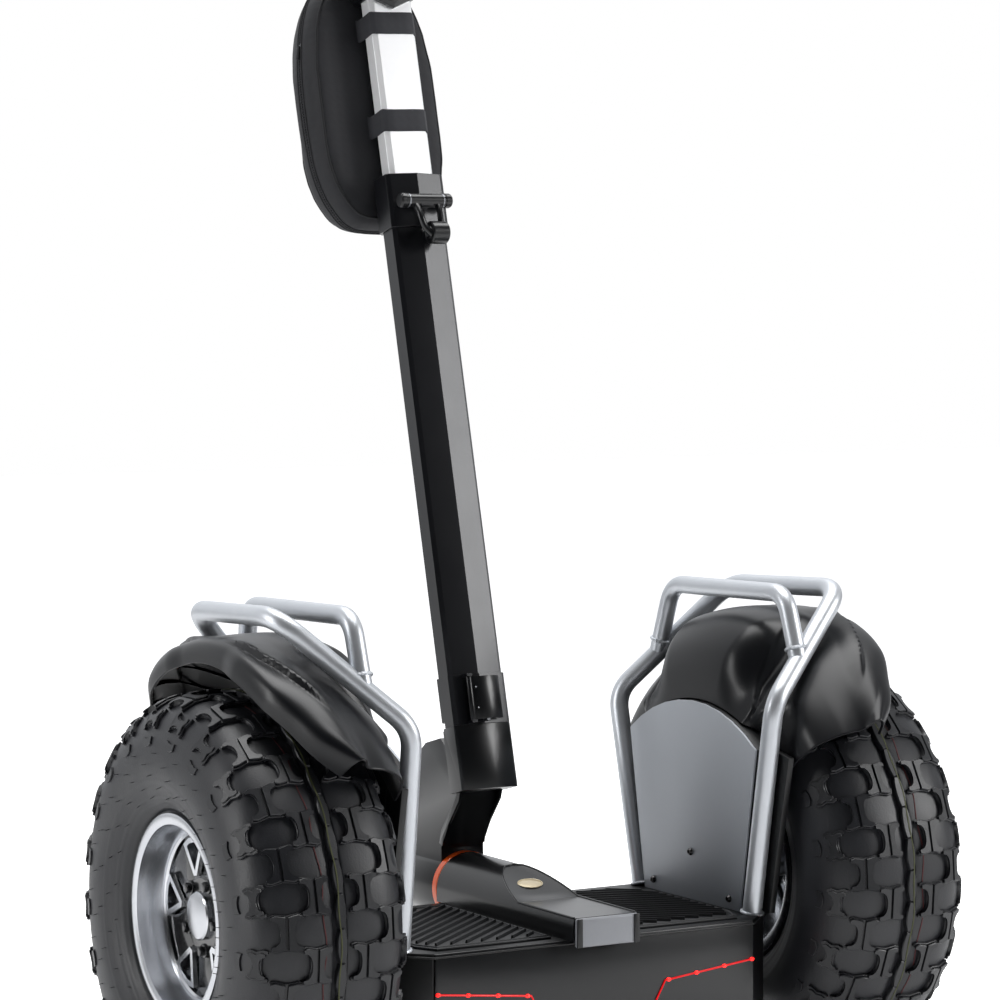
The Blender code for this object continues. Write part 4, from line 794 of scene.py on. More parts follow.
bars = dict(radius=0.0111, hoopRadius=0.0106, bend=0.044, hoopBend=0.034, foot=0.2046, join=0.36, bead=0.0019,
            lowEnd=0.194, rearElbow=0.447, frontElbow=0.429)


def weldBead(name, centre, axis, radius):
    # A rippled fillet ring where one tube is welded to another
    axis = axis.normalized()
    first = axis.orthogonal().normalized()
    second = axis.cross(first)
    path, radii = [], []
    for k in range(72):
        turn = 2 * math.pi * k / 72
        ripple = 1 + 0.16 * math.sin(turn * 18)
        path.append(centre + (first * math.cos(turn) + second * math.sin(turn)) * radius)
        radii.append(bars["bead"] * ripple)
    return sweep(name, path, 0.0, tubePowder, 8, closedLoop=True, radii=radii)


def buildBars(word, side):
    def at(x, y, z):
        return place(side * x, y, z)

    low, rearTop, frontTop = bars["lowEnd"], bars["rearElbow"], bars["frontElbow"]
    elbowRear, elbowFront = at(0.231, -0.153, rearTop), at(0.231, 0.179, frontTop)
    footRear, footFront = at(0.2265, -0.1135, low), at(0.2265, 0.1150, low)
    footRear = footRear.lerp(elbowRear, (bars["foot"] - low) / (rearTop - low))
    footFront = footFront.lerp(elbowFront, (bars["foot"] - low) / (frontTop - low))
    main = [footRear, elbowRear, at(0.362, -0.095, 0.567), at(0.354, 0.120, 0.559), elbowFront, footFront]
    bar = sweep("bar_" + word, roundedPath(main, bars["bend"], 12), bars["radius"], tubePowder, 36)
    rearWeld, frontWeld = main[1].lerp(main[2], bars["join"]), main[4].lerp(main[3], bars["join"])
    hoopPath = [rearWeld, at(0.278, -0.106, 0.565), at(0.281, 0.134, 0.560), frontWeld]
    hoop = sweep("hoop_" + word, roundedPath(hoopPath, bars["hoopBend"], 12), bars["hoopRadius"],
                 tubePowder, 36)
    beads = []
    for weld, towards, along in ((rearWeld, hoopPath[1], main[2] - main[1]),
                                 (frontWeld, hoopPath[2], main[3] - main[4])):
        way = (towards - weld).normalized()
        slant = way.angle(along.normalized())
        out = bars["radius"] / max(math.sin(slant), 0.45) * 0.92   # where the hoop leaves the bar
        beads.append(weldBead("bead", weld + way * out, way, bars["hoopRadius"] * 1.05))
    for foot, towards in ((footRear, elbowRear), (footFront, elbowFront)):
        beads.append(weldBead("bead", foot + Vector((0, 0, 0.0012)), towards - foot, bars["radius"] * 1.06))
    bead = mergeShapes("bar_welds_" + word, beads)
    bead.data.shade_smooth()
    for piece, node in ((bar, "roll_bar_"), (hoop, "inner_hoop_"), (bead, "roll_bar_")):
        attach(piece, "chassis")
        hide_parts(node + word)


for word, side in sides:
    buildBars(word, side)
print("roll bars ready")


# ---- side housings, plates, platform ----

def dress(node, name, material, bevel, body="chassis", segments=2, angle=32.0):
    piece = cleanCopy(node, name, material, bevel, segments, angle)
    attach(piece, body)
    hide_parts(node)
    return piece


def lineMesh(name, segments):   # loose edges that a node tree gives a section
    points, edges = [], []
    for a, b in segments:
        edges.append((len(points), len(points) + 1))
        points += [tuple(a), tuple(b)]
    mesh = bpy.data.meshes.new(name)
    mesh.from_pydata(points, edges, [])
    return linkObject(name, mesh)


def ribsAlong(name, lines, width, height, material, corner=0.25):
    # Geometry Nodes: a rounded bar along every line
    tree = bpy.data.node_groups.new(name + "Pattern", "GeometryNodeTree")
    tree.interface.new_socket("Geometry", in_out="INPUT", socket_type="NodeSocketGeometry")
    widthSocket = tree.interface.new_socket("Rib width", in_out="INPUT", socket_type="NodeSocketFloat")
    heightSocket = tree.interface.new_socket("Rib height", in_out="INPUT", socket_type="NodeSocketFloat")
    tree.interface.new_socket("Geometry", in_out="OUTPUT", socket_type="NodeSocketGeometry")
    source = addNode(tree, "NodeGroupInput")
    path = addNode(tree, "GeometryNodeMeshToCurve", links={"Mesh": source.outputs["Geometry"]})
    bar = addNode(tree, "GeometryNodeCurvePrimitiveQuadrilateral",
                  links={"Width": source.outputs["Rib width"], "Height": source.outputs["Rib height"]})
    rounding = addNode(tree, "ShaderNodeMath", {"operation": "MULTIPLY", 1: corner},
                       {0: source.outputs["Rib height"]})
    soft = addNode(tree, "GeometryNodeFilletCurve", {"mode": "POLY", "Count": 2},
                   {"Curve": bar.outputs[0], "Radius": rounding.outputs[0]})
    solid = addNode(tree, "GeometryNodeCurveToMesh", {"Fill Caps": True},
                    {"Curve": path.outputs[0], "Profile Curve": soft.outputs[0]})
    real = addNode(tree, "GeometryNodeRealizeInstances", links={"Geometry": solid.outputs[0]})
    paint = addNode(tree, "GeometryNodeSetMaterial", {"Material": material}, {"Geometry": real.outputs[0]})
    addNode(tree, "NodeGroupOutput", links={"Geometry": paint.outputs[0]})
    spread = lines.modifiers.new("Ribs", "NODES")
    spread.node_group = tree
    spread[widthSocket.identifier] = width
    spread[heightSocket.identifier] = height
    bakeModifiers(lines)
    lines.data.materials.clear()
    lines.data.materials.append(material)
    lines.name = name
    smoothTo(lines, 35)
    return lines


def buildScrew(node):
    low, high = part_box(node)
    centre = (low + high) / 2
    side = 1 if centre.x > 0 else -1
    radius, head = 1.25 * (high.y - low.y) / 2, 1.5 * (high.x - low.x)
    base = (high.x if side > 0 else low.x)
    profile = [(0.0021, 0.35 * head), (0.0021, head * 0.99), (0.0026, head), (radius * 0.62, head * 0.92),
               (radius * 0.90, head * 0.55), (radius, head * 0.15),
               (radius, 0.0), (0.0001, 0.0), (0.0001, 0.35 * head)]
    screw = revolve("screw_" + node, profile, Vector((base, centre.y, centre.z)), -side, blackScrew, 24,
                    True, 30.0)
    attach(screw, "chassis")
    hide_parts(node)


for word, side in sides:
    dress("side_housing_" + word, "housing_" + word, satinEnamel, 0.0012)
    dress("side_panel_" + word, "panel_" + word, platePaint, 0.0005)
    for number in (1, 2, 3):
        buildScrew("panel_screw_%s_%d" % (word, number))

platform = dict(top=0.204, halfWidth=0.246, rearHalf=0.205, rear=-0.152, shoulder=-0.110, ahead=0.100,
                beadRadius=0.0012)
dress("deck_shell", "platform_shell", satinEnamel, 0.0016)
dress("bottom_plate", "platform_base", satinEnamel, 0.0008)
dress("rear_facia", "platform_facia", glossEnamel, 0.0010)
lipRight = [(platform["rearHalf"], platform["rear"]), (platform["halfWidth"], platform["shoulder"]),
            (platform["halfWidth"], platform["ahead"])]
outline = [(-x, y) for x, y in reversed(lipRight)] + lipRight
lipPath = [place(x, y, platform["top"] - 0.0040) for x, y in outline]
lip = sweep("platform_lip", lipPath, platform["beadRadius"], satinEnamel, 10)
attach(lip, "chassis")
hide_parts("deck_shell")

mat = dict(rear=-0.136, front=0.100, inner=0.050, outer=0.206, corner=0.026, frontCut=0.040, pitch=0.0125,
           ribWidth=0.0072, ribHeight=0.0022,
           thick=0.0026, border=0.007, borderHeight=0.0014)


def clipLine(point, way, polygon):   # the stretch of a line inside a convex outline
    low, high = -1.0, 1.0
    count = len(polygon)
    area = 0.0
    for (ax, ay), (bx, by) in zip(polygon, polygon[1:] + polygon[:1]):
        area += ax * by - bx * ay
    turn = 1 if area > 0 else -1
    for i in range(count):
        a, b = Vector(polygon[i]), Vector(polygon[(i + 1) % count])
        normal = Vector((-(b - a).y, (b - a).x)) * turn
        d, n = (point - a).dot(normal), way.dot(normal)
        if abs(n) < 1e-9:
            if d < 0:
                return None
        elif n > 0:
            low = max(low, -d / n)
        else:
            high = min(high, -d / n)
    return (point + way * low, point + way * high) if high - low > 0.012 else None


def buildMat(word, side):
    top = platform["top"] + 0.0003
    cut = mat["corner"]
    corners = [(mat["inner"], mat["rear"]), (mat["outer"] - 0.5 * cut, mat["rear"]),
               (mat["outer"], mat["rear"] + cut),
               (mat["outer"], mat["front"] - mat["frontCut"]),
               (mat["outer"] - mat["frontCut"], mat["front"]), (mat["inner"], mat["front"])]
    middle = Vector((sum(x for x, y in corners) / 6, sum(y for x, y in corners) / 6))
    base = prism("mat_base_" + word, [(side * x, y + axleY) for x, y in corners], mat["thick"],
                 Matrix.Translation((0, 0, top + mat["thick"] / 2)), ribRubber, 0.0008)

    def drawnIn(distance):   # the outline with its corners pulled towards the middle
        arms = [Vector(c) - middle for c in corners]
        return [tuple(middle + arm * (1 - distance / arm.length)) for arm in arms]

    inset = drawnIn(0.8 * mat["border"])
    border = sweep("mat_border_" + word, [Vector((side * x, y + axleY, top + mat["thick"])) for x,
                                          y in inset], mat["borderHeight"], ribRubber, 10, closedLoop=True)
    field = drawnIn(2.1 * mat["border"])
    way = Vector((0.757, -0.653))
    across = Vector((0.653, 0.757))
    segments = []
    for number in range(-14, 15):
        piece = clipLine(middle + across * number * mat["pitch"], way, field)
        if piece:
            a, b = piece
            segments.append(((side * a.x, a.y + axleY, top + mat["thick"]),
                             (side * b.x, b.y + axleY, top + mat["thick"])))
    ribs = ribsAlong("mat_ribs_" + word, lineMesh("ribLines", segments), mat["ribHeight"],
                     mat["ribWidth"], ribRubber)
    for piece in (base, border, ribs):
        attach(piece, "chassis")
        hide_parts("mat_" + word)


for word, side in sides:
    buildMat(word, side)

lights = dict(stripRadius=0.001156, lampRadius=0.0024, lampsOut=3)


def buildLights():
    y = platform["rear"] - 0.0006
    strips, lamps = [], []
    for side in (-1, 1):
        line = [(0.0, y, 0.118), (0.069, y, 0.118), (0.086, y, 0.1480), (0.2040, y, 0.1608)]
        path = [place(side * a, b, c) for a, b, c in line]
        strips.append(sweep("strip", path, lights["stripRadius"], redLens, 10))
        start, end = path[2], path[3]
        count = lights["lampsOut"]
        lamps += [start.lerp(end, (number + 0.12) / (count + 0.2)) for number in range(count + 1)]
        lamps += [path[0].lerp(path[1], t) for t in (0.25, 0.75)]
    strip = mergeShapes("light_strip", strips)
    strip.data.shade_smooth()
    balls = []
    for number, spot in enumerate(lamps):
        ball = bmesh.new()
        seat = Matrix.Translation(spot) @ Matrix.Diagonal((1.25, 1.0, 0.9, 1))
        bmesh.ops.create_uvsphere(ball, u_segments=14, v_segments=8, radius=lights["lampRadius"], matrix=seat)
        balls.append(linkObject("lamp%d" % number, meshFrom(ball, "lamp"), redLamp, 40))
    lamp = mergeShapes("light_lamps", balls)
    lamp.data.shade_smooth()
    for piece in (strip, lamp):
        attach(piece, "chassis")
        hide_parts("rear_light")


buildLights()
print("platform ready")


# ---- hump and its badge ----

hump = dict(radius=0.041, pivot=0.218, foot=0.2045, rear=-0.166, lowTop=0.230, scoopRear=-0.045,
            scoopFront=0.036, front=0.1385, dish=0.0035,
            topHalf=0.0392)


def scoopTop(y):   # height of the slope that rises out of the low top
    climb = hump["pivot"] + hump["radius"] - hump["lowTop"]
    return hump["lowTop"] + climb * (y - hump["scoopRear"]) / (hump["scoopFront"] - hump["scoopRear"])


def buildHump():
    radius, pivot = hump["radius"], hump["pivot"]
    rows = []
    stations = [hump["rear"] + i * 0.004 for i in range(30)]
    stations += [hump["scoopRear"] + i * 0.0027 for i in range(31)]
    stations += [0.0385 + i * 0.01 for i in range(10)] + [hump["front"]]
    for y in stations:
        if y < hump["scoopRear"]:
            topZ = hump["lowTop"]
        elif y < hump["scoopFront"]:
            topZ = scoopTop(y)
        else:
            topZ = pivot + radius
        rise = min(radius, max(0.0, topZ - pivot))
        half = math.sqrt(max(radius ** 2 - rise ** 2, 0.0))
        limit = math.acos(min(1.0, rise / radius))   # angle from straight up where the arch is cut
        dish = hump["dish"] * fade(hump["scoopRear"] - 0.004, hump["scoopRear"] + 0.02,
                                   y) * (half / hump["topHalf"])
        row = [(-radius, hump["foot"]), (-radius, pivot)]
        for k in range(1, 17):
            turn = -math.pi / 2 + (math.pi / 2 - limit) * k / 16
            row.append((radius * math.sin(turn), pivot + radius * math.cos(turn)))
        for k in range(1, 24):
            t = -1 + 2 * k / 24
            row.append((half * t, pivot + rise - dish * (1 - t * t)))
        row += [(-x, z) for x, z in reversed(row[:18])]
        rows.append([place(x, y, z) for x, z in row])
    width = len(rows[0])
    points = [p for row in rows for p in row]
    faces = gridFaces(len(rows), width)
    faces.append(tuple(range(width)))
    faces.append(tuple((len(rows) - 1) * width + j for j in reversed(range(width))))
    faces += [(i * width, (i + 1) * width, (i + 1) * width + width - 1,
               i * width + width - 1) for i in range(len(rows) - 1)]
    cover = meshOf("hump_shell", points, faces, glossEnamel, 16.0, fixNormals=True)
    # A fine rim round the scoop and a strip down each side of the low top
    rim = []
    for k in range(49):
        t = -1 + 2 * k / 48
        y = hump["scoopRear"] + (hump["scoopFront"] - hump["scoopRear"]) * (1 - abs(t)) * 0.985
        topZ = scoopTop(y)
        half = math.sqrt(max(radius ** 2 - (topZ - pivot) ** 2, 0.0))
        rim.append(place(math.copysign(half, t) if abs(t) > 0.001 else 0.0, y, topZ))
    edge = sweep("hump_rim", rim, 0.0011, glossEnamel, 10)
    strips = []
    for x in (-hump["topHalf"], hump["topHalf"]):
        path = [place(x, hump["scoopRear"], hump["lowTop"]), place(x, hump["rear"] + 0.001, hump["lowTop"])]
        strips.append(sweep("strip", path, 0.0013, glossEnamel, 10))
    strip = mergeShapes("hump_edges", strips)
    slope = math.atan2(pivot + radius - hump["lowTop"], hump["scoopFront"] - hump["scoopRear"])
    seatY = (hump["scoopRear"] + hump["scoopFront"]) / 2
    spot = place(0.0, seatY, scoopTop(seatY) - 0.0030)
    badgeFrame = Matrix.Translation(spot) @ Matrix.Rotation(slope, 4, "X")
    oval = [(0.0150 * math.cos(2 * math.pi * k / 48),
             0.0095 * math.sin(2 * math.pi * k / 48)) for k in range(48)]
    badge = prism("hump_badge", oval, 0.0018, badgeFrame, creamBadge, 0.0005)
    edging = [badgeFrame @ Vector((x * 1.02, y * 1.02, 0.0009)) for x, y in oval]
    border = sweep("hump_badge_border", edging, 0.0007, creamBadge, 8, closedLoop=True)
    for piece in (cover, edge, strip, badge, border):
        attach(piece, "chassis")
        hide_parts("hump_cover")
    dress("hump_end_plate", "hump_end", greyAbs, 0.0006)
    railAt = Matrix.Translation((0, axleY + hump["rear"] - 0.0066, 0)) @ Matrix.Rotation(math.pi / 2, 4, "X")
    railHalf = [(0.0330, 0.1985), (0.0400, 0.1985), (0.0395, 0.2298), (0.0330, 0.2298)]
    rails = [prism("rail", [(s * x, z) for x, z in railHalf], 0.0022, railAt, satinEnamel,
                   0.0006) for s in (-1, 1)]
    rail = mergeShapes("hump_end_rails", rails)
    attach(rail, "chassis")
    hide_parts("hump_end_plate")
    section = [(0.0290, -0.0055), (0.0408, -0.0055), (0.0414, -0.0045), (0.0414, 0.0045),
               (0.0408, 0.0055), (0.0290, 0.0055)]
    ring = revolveAlongY("accent", section, place(0, 0.1443, pivot), orangeAbs, 72)
    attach(ring, "chassis")
    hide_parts("accent_ring")


def revolveAlongY(name, profile, centre, material, steps=64, closed=True, smoothAngle=28.0):
    points = []
    for i in range(steps):
        turn = 2 * math.pi * i / steps
        points += [(centre.x + r * math.sin(turn), centre.y + h, centre.z + r * math.cos(turn)) for r,
                   h in profile]
    return meshOf(name, points, gridFaces(steps, len(profile), True, closed), material, smoothAngle,
                  fixNormals=True)


buildHump()
print("hump ready")


# ---- steering column ----

def inColumn(x, depth, height):   # a point in the leaning column's own frame
    return column @ Vector((x, depth, height))


def rod(name, start, end, radius, material, sections=24, endRound=0.0):
    start, end = Vector(start), Vector(end)
    way = (end - start).normalized()
    if not endRound:
        return sweep(name, [start, end], radius, material, sections)
    path = [start, start + way * endRound, end - way * endRound, end]
    return sweep(name, path, radius, material, sections,
                 radii=[radius - endRound, radius, radius, radius - endRound])


dress("steering_stem", "stem_casting", glossEnamel, 0.0012, "steering")
neck = dict(rearLine=[(0.1515, 0.268), (0.1470, 0.283), (0.1300, 0.304), (0.1120, 0.326), (0.1062, 0.345),
                      (0.1100, 0.361)], proud=0.0042, flange=0.0034,
            halfWidth=0.0268)


def buildNeck():
    line = [place(0, y, z) for y, z in neck["rearLine"]]
    flanges = []
    for side in (-1, 1):
        outline = []
        for i, here in enumerate(line):
            ahead = (line[min(i + 1, len(line) - 1)] - line[max(i - 1, 0)]).normalized()
            out = Vector((0, -ahead.z, ahead.y))
            outline.append((here - out * 0.004, here + out * neck["proud"]))
        loop = [(a.y, a.z) for a, b in outline] + [(b.y, b.z) for a, b in reversed(outline)]
        matrix = Matrix.Translation((side * neck["halfWidth"], 0, 0)) @ Matrix(((0, 0, 1, 0),
                (1, 0, 0, 0), (0, 1, 0, 0), (0, 0, 0, 1)))
        flanges.append(prism("flange", loop, neck["flange"], matrix, glossEnamel, 0.0007))
    flange = mergeShapes("stem_flanges", flanges)
    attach(flange, "steering")
    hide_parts("steering_stem")


buildNeck()
dress("upper_sleeve", "sleeve_casting", columnEnamel, 0.0010, "pole", 2, 6.0)
dress("lower_pole", "pole_extrusion", columnEnamel, 0.0008, "pole", 2, 6.0)
dress("clamp_collar", "collar_casting", columnEnamel, 0.0010, "pole", 2, 6.0)
dress("fold_latch", "latch_door", glossEnamel, 0.0008, "latch")
latch = dict(pinRadius=0.0011, pinX=-0.0120, boltX=0.0005, boltRadius=0.0026)


def buildLatchPins():
    pins = []
    for height in (0.017, 0.041):
        pins.append(rod("pin", inColumn(latch["pinX"], -0.0262, height),
                        inColumn(latch["pinX"], -0.0318, height), latch["pinRadius"], steelTurned, 14,
                        0.0004))
    pin = mergeShapes("latch_pins", pins)
    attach(pin, "latch")
    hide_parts("fold_latch")
    bolt = rod("latch_bolt", inColumn(latch["boltX"], -0.0205, 0.0045),
               inColumn(latch["boltX"], -0.0300, 0.0035), latch["boltRadius"], steelTurned, 18, 0.0006)
    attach(bolt, "pole")
    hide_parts("upper_sleeve")


buildLatchPins()

lever = dict(height=0.618, depth=-0.0332, half=0.034, barrel=0.0080, cap=0.0088, rollerX=0.009,
             rollerHalf=0.011, roller=0.0134)


def buildLever():
    h, d, half = lever["height"], lever["depth"], lever["half"]
    pieces = [rod("barrel", inColumn(-half, d, h), inColumn(half, d, h), lever["barrel"], glossEnamel, 32,
                  0.0008)]
    for x in (-half + 0.001, half - 0.009):
        pieces.append(rod("cap", inColumn(x, d, h), inColumn(x + 0.0075, d, h), lever["cap"], glossEnamel,
                          32, 0.0010))
    for x in (-half + 0.0105, half - 0.0125):
        pieces.append(rod("groove", inColumn(x, d, h), inColumn(x + 0.0020, d, h),
                          lever["barrel"] + 0.0004, steelTurned, 32, 0.0003))
    rollD, rollH = d - 0.0045, h - 0.040
    start, end = lever["rollerX"] - lever["rollerHalf"], lever["rollerX"] + lever["rollerHalf"]
    pieces.append(rod("roller", inColumn(start, rollD, rollH), inColumn(end, rollD, rollH),
                      lever["roller"], glossEnamel, 40, 0.0012))
    ring = [inColumn(start - 0.0004, rollD + 0.0072 * math.sin(2 * math.pi * k / 28),
                     rollH + 0.0072 * math.cos(2 * math.pi * k / 28)) for k in range(28)]
    pieces.append(sweep("boss", ring, 0.0010, glossEnamel, 8, closedLoop=True))
    pieces.append(rod("pivot", inColumn(start - 0.0022, rollD, rollH), inColumn(start, rollD, rollH),
                      0.0042, steelTurned, 20, 0.0005))
    hook = [(-0.0150, d - 0.001, h - 0.003), (-0.0135, d - 0.006, h - 0.012),
            (-0.0125, d - 0.009, h - 0.022), (-0.0085, d - 0.0085, h - 0.034),
            (-0.0010, rollD - 0.006, rollH - 0.004)]
    pieces.append(sweep("hook", [inColumn(p.x, p.y, p.z) for p in smoothLine(hook, 6)], 0.0040,
                        glossEnamel, 18))
    arm = [(0.0150, d - 0.002, h - 0.004), (0.0152, d - 0.0055, h - 0.014),
           (0.0140, rollD - 0.003, rollH + 0.008)]
    pieces.append(sweep("arm", [inColumn(p.x, p.y, p.z) for p in smoothLine(arm, 6)], 0.0036, glossEnamel,
                        18))
    piece = mergeShapes("lever_cast", pieces)
    smoothTo(piece, 40)
    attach(piece, "lever")
    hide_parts("clamp_lever")


buildLever()
dress("upper_tube", "tube_extrusion", brushedTube, 0.0006, "top", 2, 6.0)
dress("handlebar_head", "head_casting", glossEnamel, 0.0008, "top")
print("column ready")


# ---- handlebar ----

handle = dict(height=0.930, half=0.300, radius=0.0110, gripLength=0.125, ringPitch=0.0052, ringRise=0.0011)


def ringsAlong(name, start, step, count, ringRadius, thickness, material):
    # Geometry Nodes: equal rings in a row along a straight bar
    tree = bpy.data.node_groups.new(name + "Pattern", "GeometryNodeTree")
    sockets = {}
    for label, kind in (("First ring", "NodeSocketVector"), ("Step", "NodeSocketVector"),
                        ("Rings", "NodeSocketInt"), ("Ring radius", "NodeSocketFloat"),
                        ("Ring thickness", "NodeSocketFloat")):
        sockets[label] = tree.interface.new_socket(label, in_out="INPUT", socket_type=kind)
    tree.interface.new_socket("Geometry", in_out="OUTPUT", socket_type="NodeSocketGeometry")
    source = addNode(tree, "NodeGroupInput")
    row = addNode(tree, "GeometryNodeMeshLine", {"mode": "OFFSET"},
                  {"Count": source.outputs["Rings"], "Start Location": source.outputs["First ring"],
                                                                    "Offset": source.outputs["Step"]})
    circle = addNode(tree, "GeometryNodeCurvePrimitiveCircle", {"Resolution": 40},
                     {"Radius": source.outputs["Ring radius"]})
    wire = addNode(tree, "GeometryNodeCurvePrimitiveCircle", {"Resolution": 8},
                   {"Radius": source.outputs["Ring thickness"]})
    torus = addNode(tree, "GeometryNodeCurveToMesh",
                    links={"Curve": circle.outputs[0], "Profile Curve": wire.outputs[0]})
    turn = addNode(tree, "FunctionNodeAlignRotationToVector", {"axis": "Z"},
                   {"Vector": source.outputs["Step"]})
    copies = addNode(tree, "GeometryNodeInstanceOnPoints",
                     links={"Points": row.outputs[0], "Instance": torus.outputs[0],
                            "Rotation": turn.outputs[0]})
    real = addNode(tree, "GeometryNodeRealizeInstances", links={"Geometry": copies.outputs[0]})
    paint = addNode(tree, "GeometryNodeSetMaterial", {"Material": material}, {"Geometry": real.outputs[0]})
    addNode(tree, "NodeGroupOutput", links={"Geometry": paint.outputs[0]})
    rings = linkObject(name, bpy.data.meshes.new(name))
    spread = rings.modifiers.new("Rings", "NODES")
    spread.node_group = tree
    for label, value in (("First ring", tuple(start)), ("Step", tuple(step)), ("Rings", count),
                         ("Ring radius", ringRadius), ("Ring thickness", thickness)):
        spread[sockets[label].identifier] = value
    bakeModifiers(rings)
    rings.data.materials.clear()
    rings.data.materials.append(material)
    rings.data.shade_smooth()
    return rings


def buildHandlebar():
    h, half = handle["height"], handle["half"]
    bar = rod("bar_tube", inColumn(-half, 0, h), inColumn(half, 0, h), handle["radius"], satinEnamel, 40,
              0.0008)
    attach(bar, "top")
    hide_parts("handlebar")
    for word, side in sides:
        length = handle["gripLength"]
        end = side * (half + 0.003)
        profile = [(0.0001, 0.0), (0.0120, 0.0), (0.0150, -0.0016), (0.0158, -0.0045), (0.0152, -0.0100),
                   (0.0146, -0.0300), (0.0155, -0.0620), (0.0149, -0.0980),
                   (0.0158, -0.1170), (0.0175, -0.1205), (0.0188, -0.1225), (0.0190, -0.1240),
                   (0.0185, -0.1250), (0.0112, -0.1250), (0.0112, -0.004), (0.0001, -0.004)]
        gripEnd = inColumn(end, 0, h)
        grip = revolve("grip_body_" + word, profile, gripEnd, side, gripRubber, 48, True, 40.0)
        count = int((length - 0.026) / handle["ringPitch"])
        first = inColumn(end - side * 0.012, 0, h)
        rings = ringsAlong("grip_rings_" + word, first, Vector((-side * handle["ringPitch"], 0, 0)),
                           count, 0.0151, handle["ringRise"], gripRubber)
        for piece in (grip, rings):
            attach(piece, "top")
            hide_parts("grip_" + word)
    dress("display", "display_case", satinEnamel, 0.0012, "top", 3)
    glass = prism("display_glass", [(-0.0215, -0.0165), (0.0215, -0.0165), (0.0215, 0.0165),
                                    (-0.0215, 0.0165)], 0.0008,
                  column @ Matrix.Translation((0, -0.0334, h - 0.0045)) @ Matrix.Rotation(math.pi / 2, 4,
                          "X"), darkLens, 0.0003)
    cellsAt = column @ Matrix.Translation((0, -0.0339, h + 0.002)) @ Matrix.Rotation(math.pi / 2, 4, "X")
    cells = []
    for x in (-0.0135, -0.0067, 0.0, 0.0067, 0.0135):
        corners = [(x - 0.0026, -0.0022), (x + 0.0026, -0.0022), (x + 0.0026, 0.0022), (x - 0.0026, 0.0022)]
        cells.append(prism("cell", corners, 0.0003, cellsAt, greenCell))
    cells = mergeShapes("display_cells", cells)
    for piece in (glass, cells):
        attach(piece, "top")
        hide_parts("display")
    for word, body in (("left", "button_a"), ("right", "button_b")):
        dress("button_" + word, "push_" + word, greyAbs, 0.0008, body, 3)


greenCell = makeMaterial("litGreenCell", "46c65a", 0.4, glow=0.8, mottle=(2, "3cb44e"))
buildHandlebar()
print("handlebar ready")


# ---- bag ----

bag = dict(shift=-0.011, low=0.601, high=0.928, seam=0.0585, voxel=0.0055, frames=12, pressure=2.2,
           cap=0.004, piping=0.0016,
           strapWidth=0.027, strapThick=0.0015, straps=(0.722, 0.842), toothPitch=0.0031)
bagHalf = [(0.601, 0.0), (0.603, 0.035), (0.611, 0.053), (0.630, 0.067), (0.647, 0.0753), (0.670, 0.0815),
           (0.701, 0.0845), (0.786, 0.0850), (0.830, 0.0810),
           (0.865, 0.0740), (0.893, 0.0620), (0.915, 0.0420), (0.926, 0.0190), (0.928, 0.0)]


def weaveMaterial(name, tone, second, pitch, rough, depth, sheen):
    # Woven cloth: warp and weft run along x and z; drawn at a thread pitch coarse enough to show
    material = makeMaterial(name, tone, rough, mottle=(26, second), sheen=sheen, roughSpread=0.04)
    tree = material.node_tree
    shader = tree.nodes["Principled BSDF"]
    where = next(node for node in tree.nodes if node.type == "TEX_COORD")
    leaning = addNode(tree, "ShaderNodeMapping", {"Rotation": (lean, 0, 0)},
                      {"Vector": where.outputs["Object"]})
    waves = []
    for axis in ("X", "Z"):
        threads = {"wave_type": "BANDS", "bands_direction": axis, "Scale": 1000 / pitch / 20,
                   "Distortion": 0.6, "Detail": 1.0}
        waves.append(addNode(tree, "ShaderNodeTexWave", threads, {"Vector": leaning.outputs["Vector"]}))
    crossing = addNode(tree, "ShaderNodeMath", {"operation": "MULTIPLY"},
                       {0: waves[0].outputs["Fac"], 1: waves[1].outputs["Fac"]})
    bump = addNode(tree, "ShaderNodeBump", {"Strength": 0.7, "Distance": depth / 1000},
                   {"Height": crossing.outputs[0]})
    tree.links.new(bump.outputs["Normal"], shader.inputs["Normal"])
    return material


bagCloth = weaveMaterial("wovenPolyesterOverFoam", "090a10", "0c0d15", 1.6, 0.72, 0.22, 0.04)
strapWeb = weaveMaterial("elasticWebbing", "1c1d22", "212228", 1.8, 0.80, 0.30, 0.05)
zipTape = weaveMaterial("zipTape", "08090d", "0b0c11", 1.2, 0.78, 0.12, 0.0)


def bagOutline(scale=1.0, count=40):
    middle = (bag["low"] + bag["high"]) / 2
    half = smoothLine([(w, s) for s, w in bagHalf], 6)
    right = [(p.x * scale, middle + (p.y - middle) * scale) for p in half]
    return [(x + bag["shift"], s) for x, s in right[:-1] + [(-x, s) for x, s in reversed(right[1:])]]


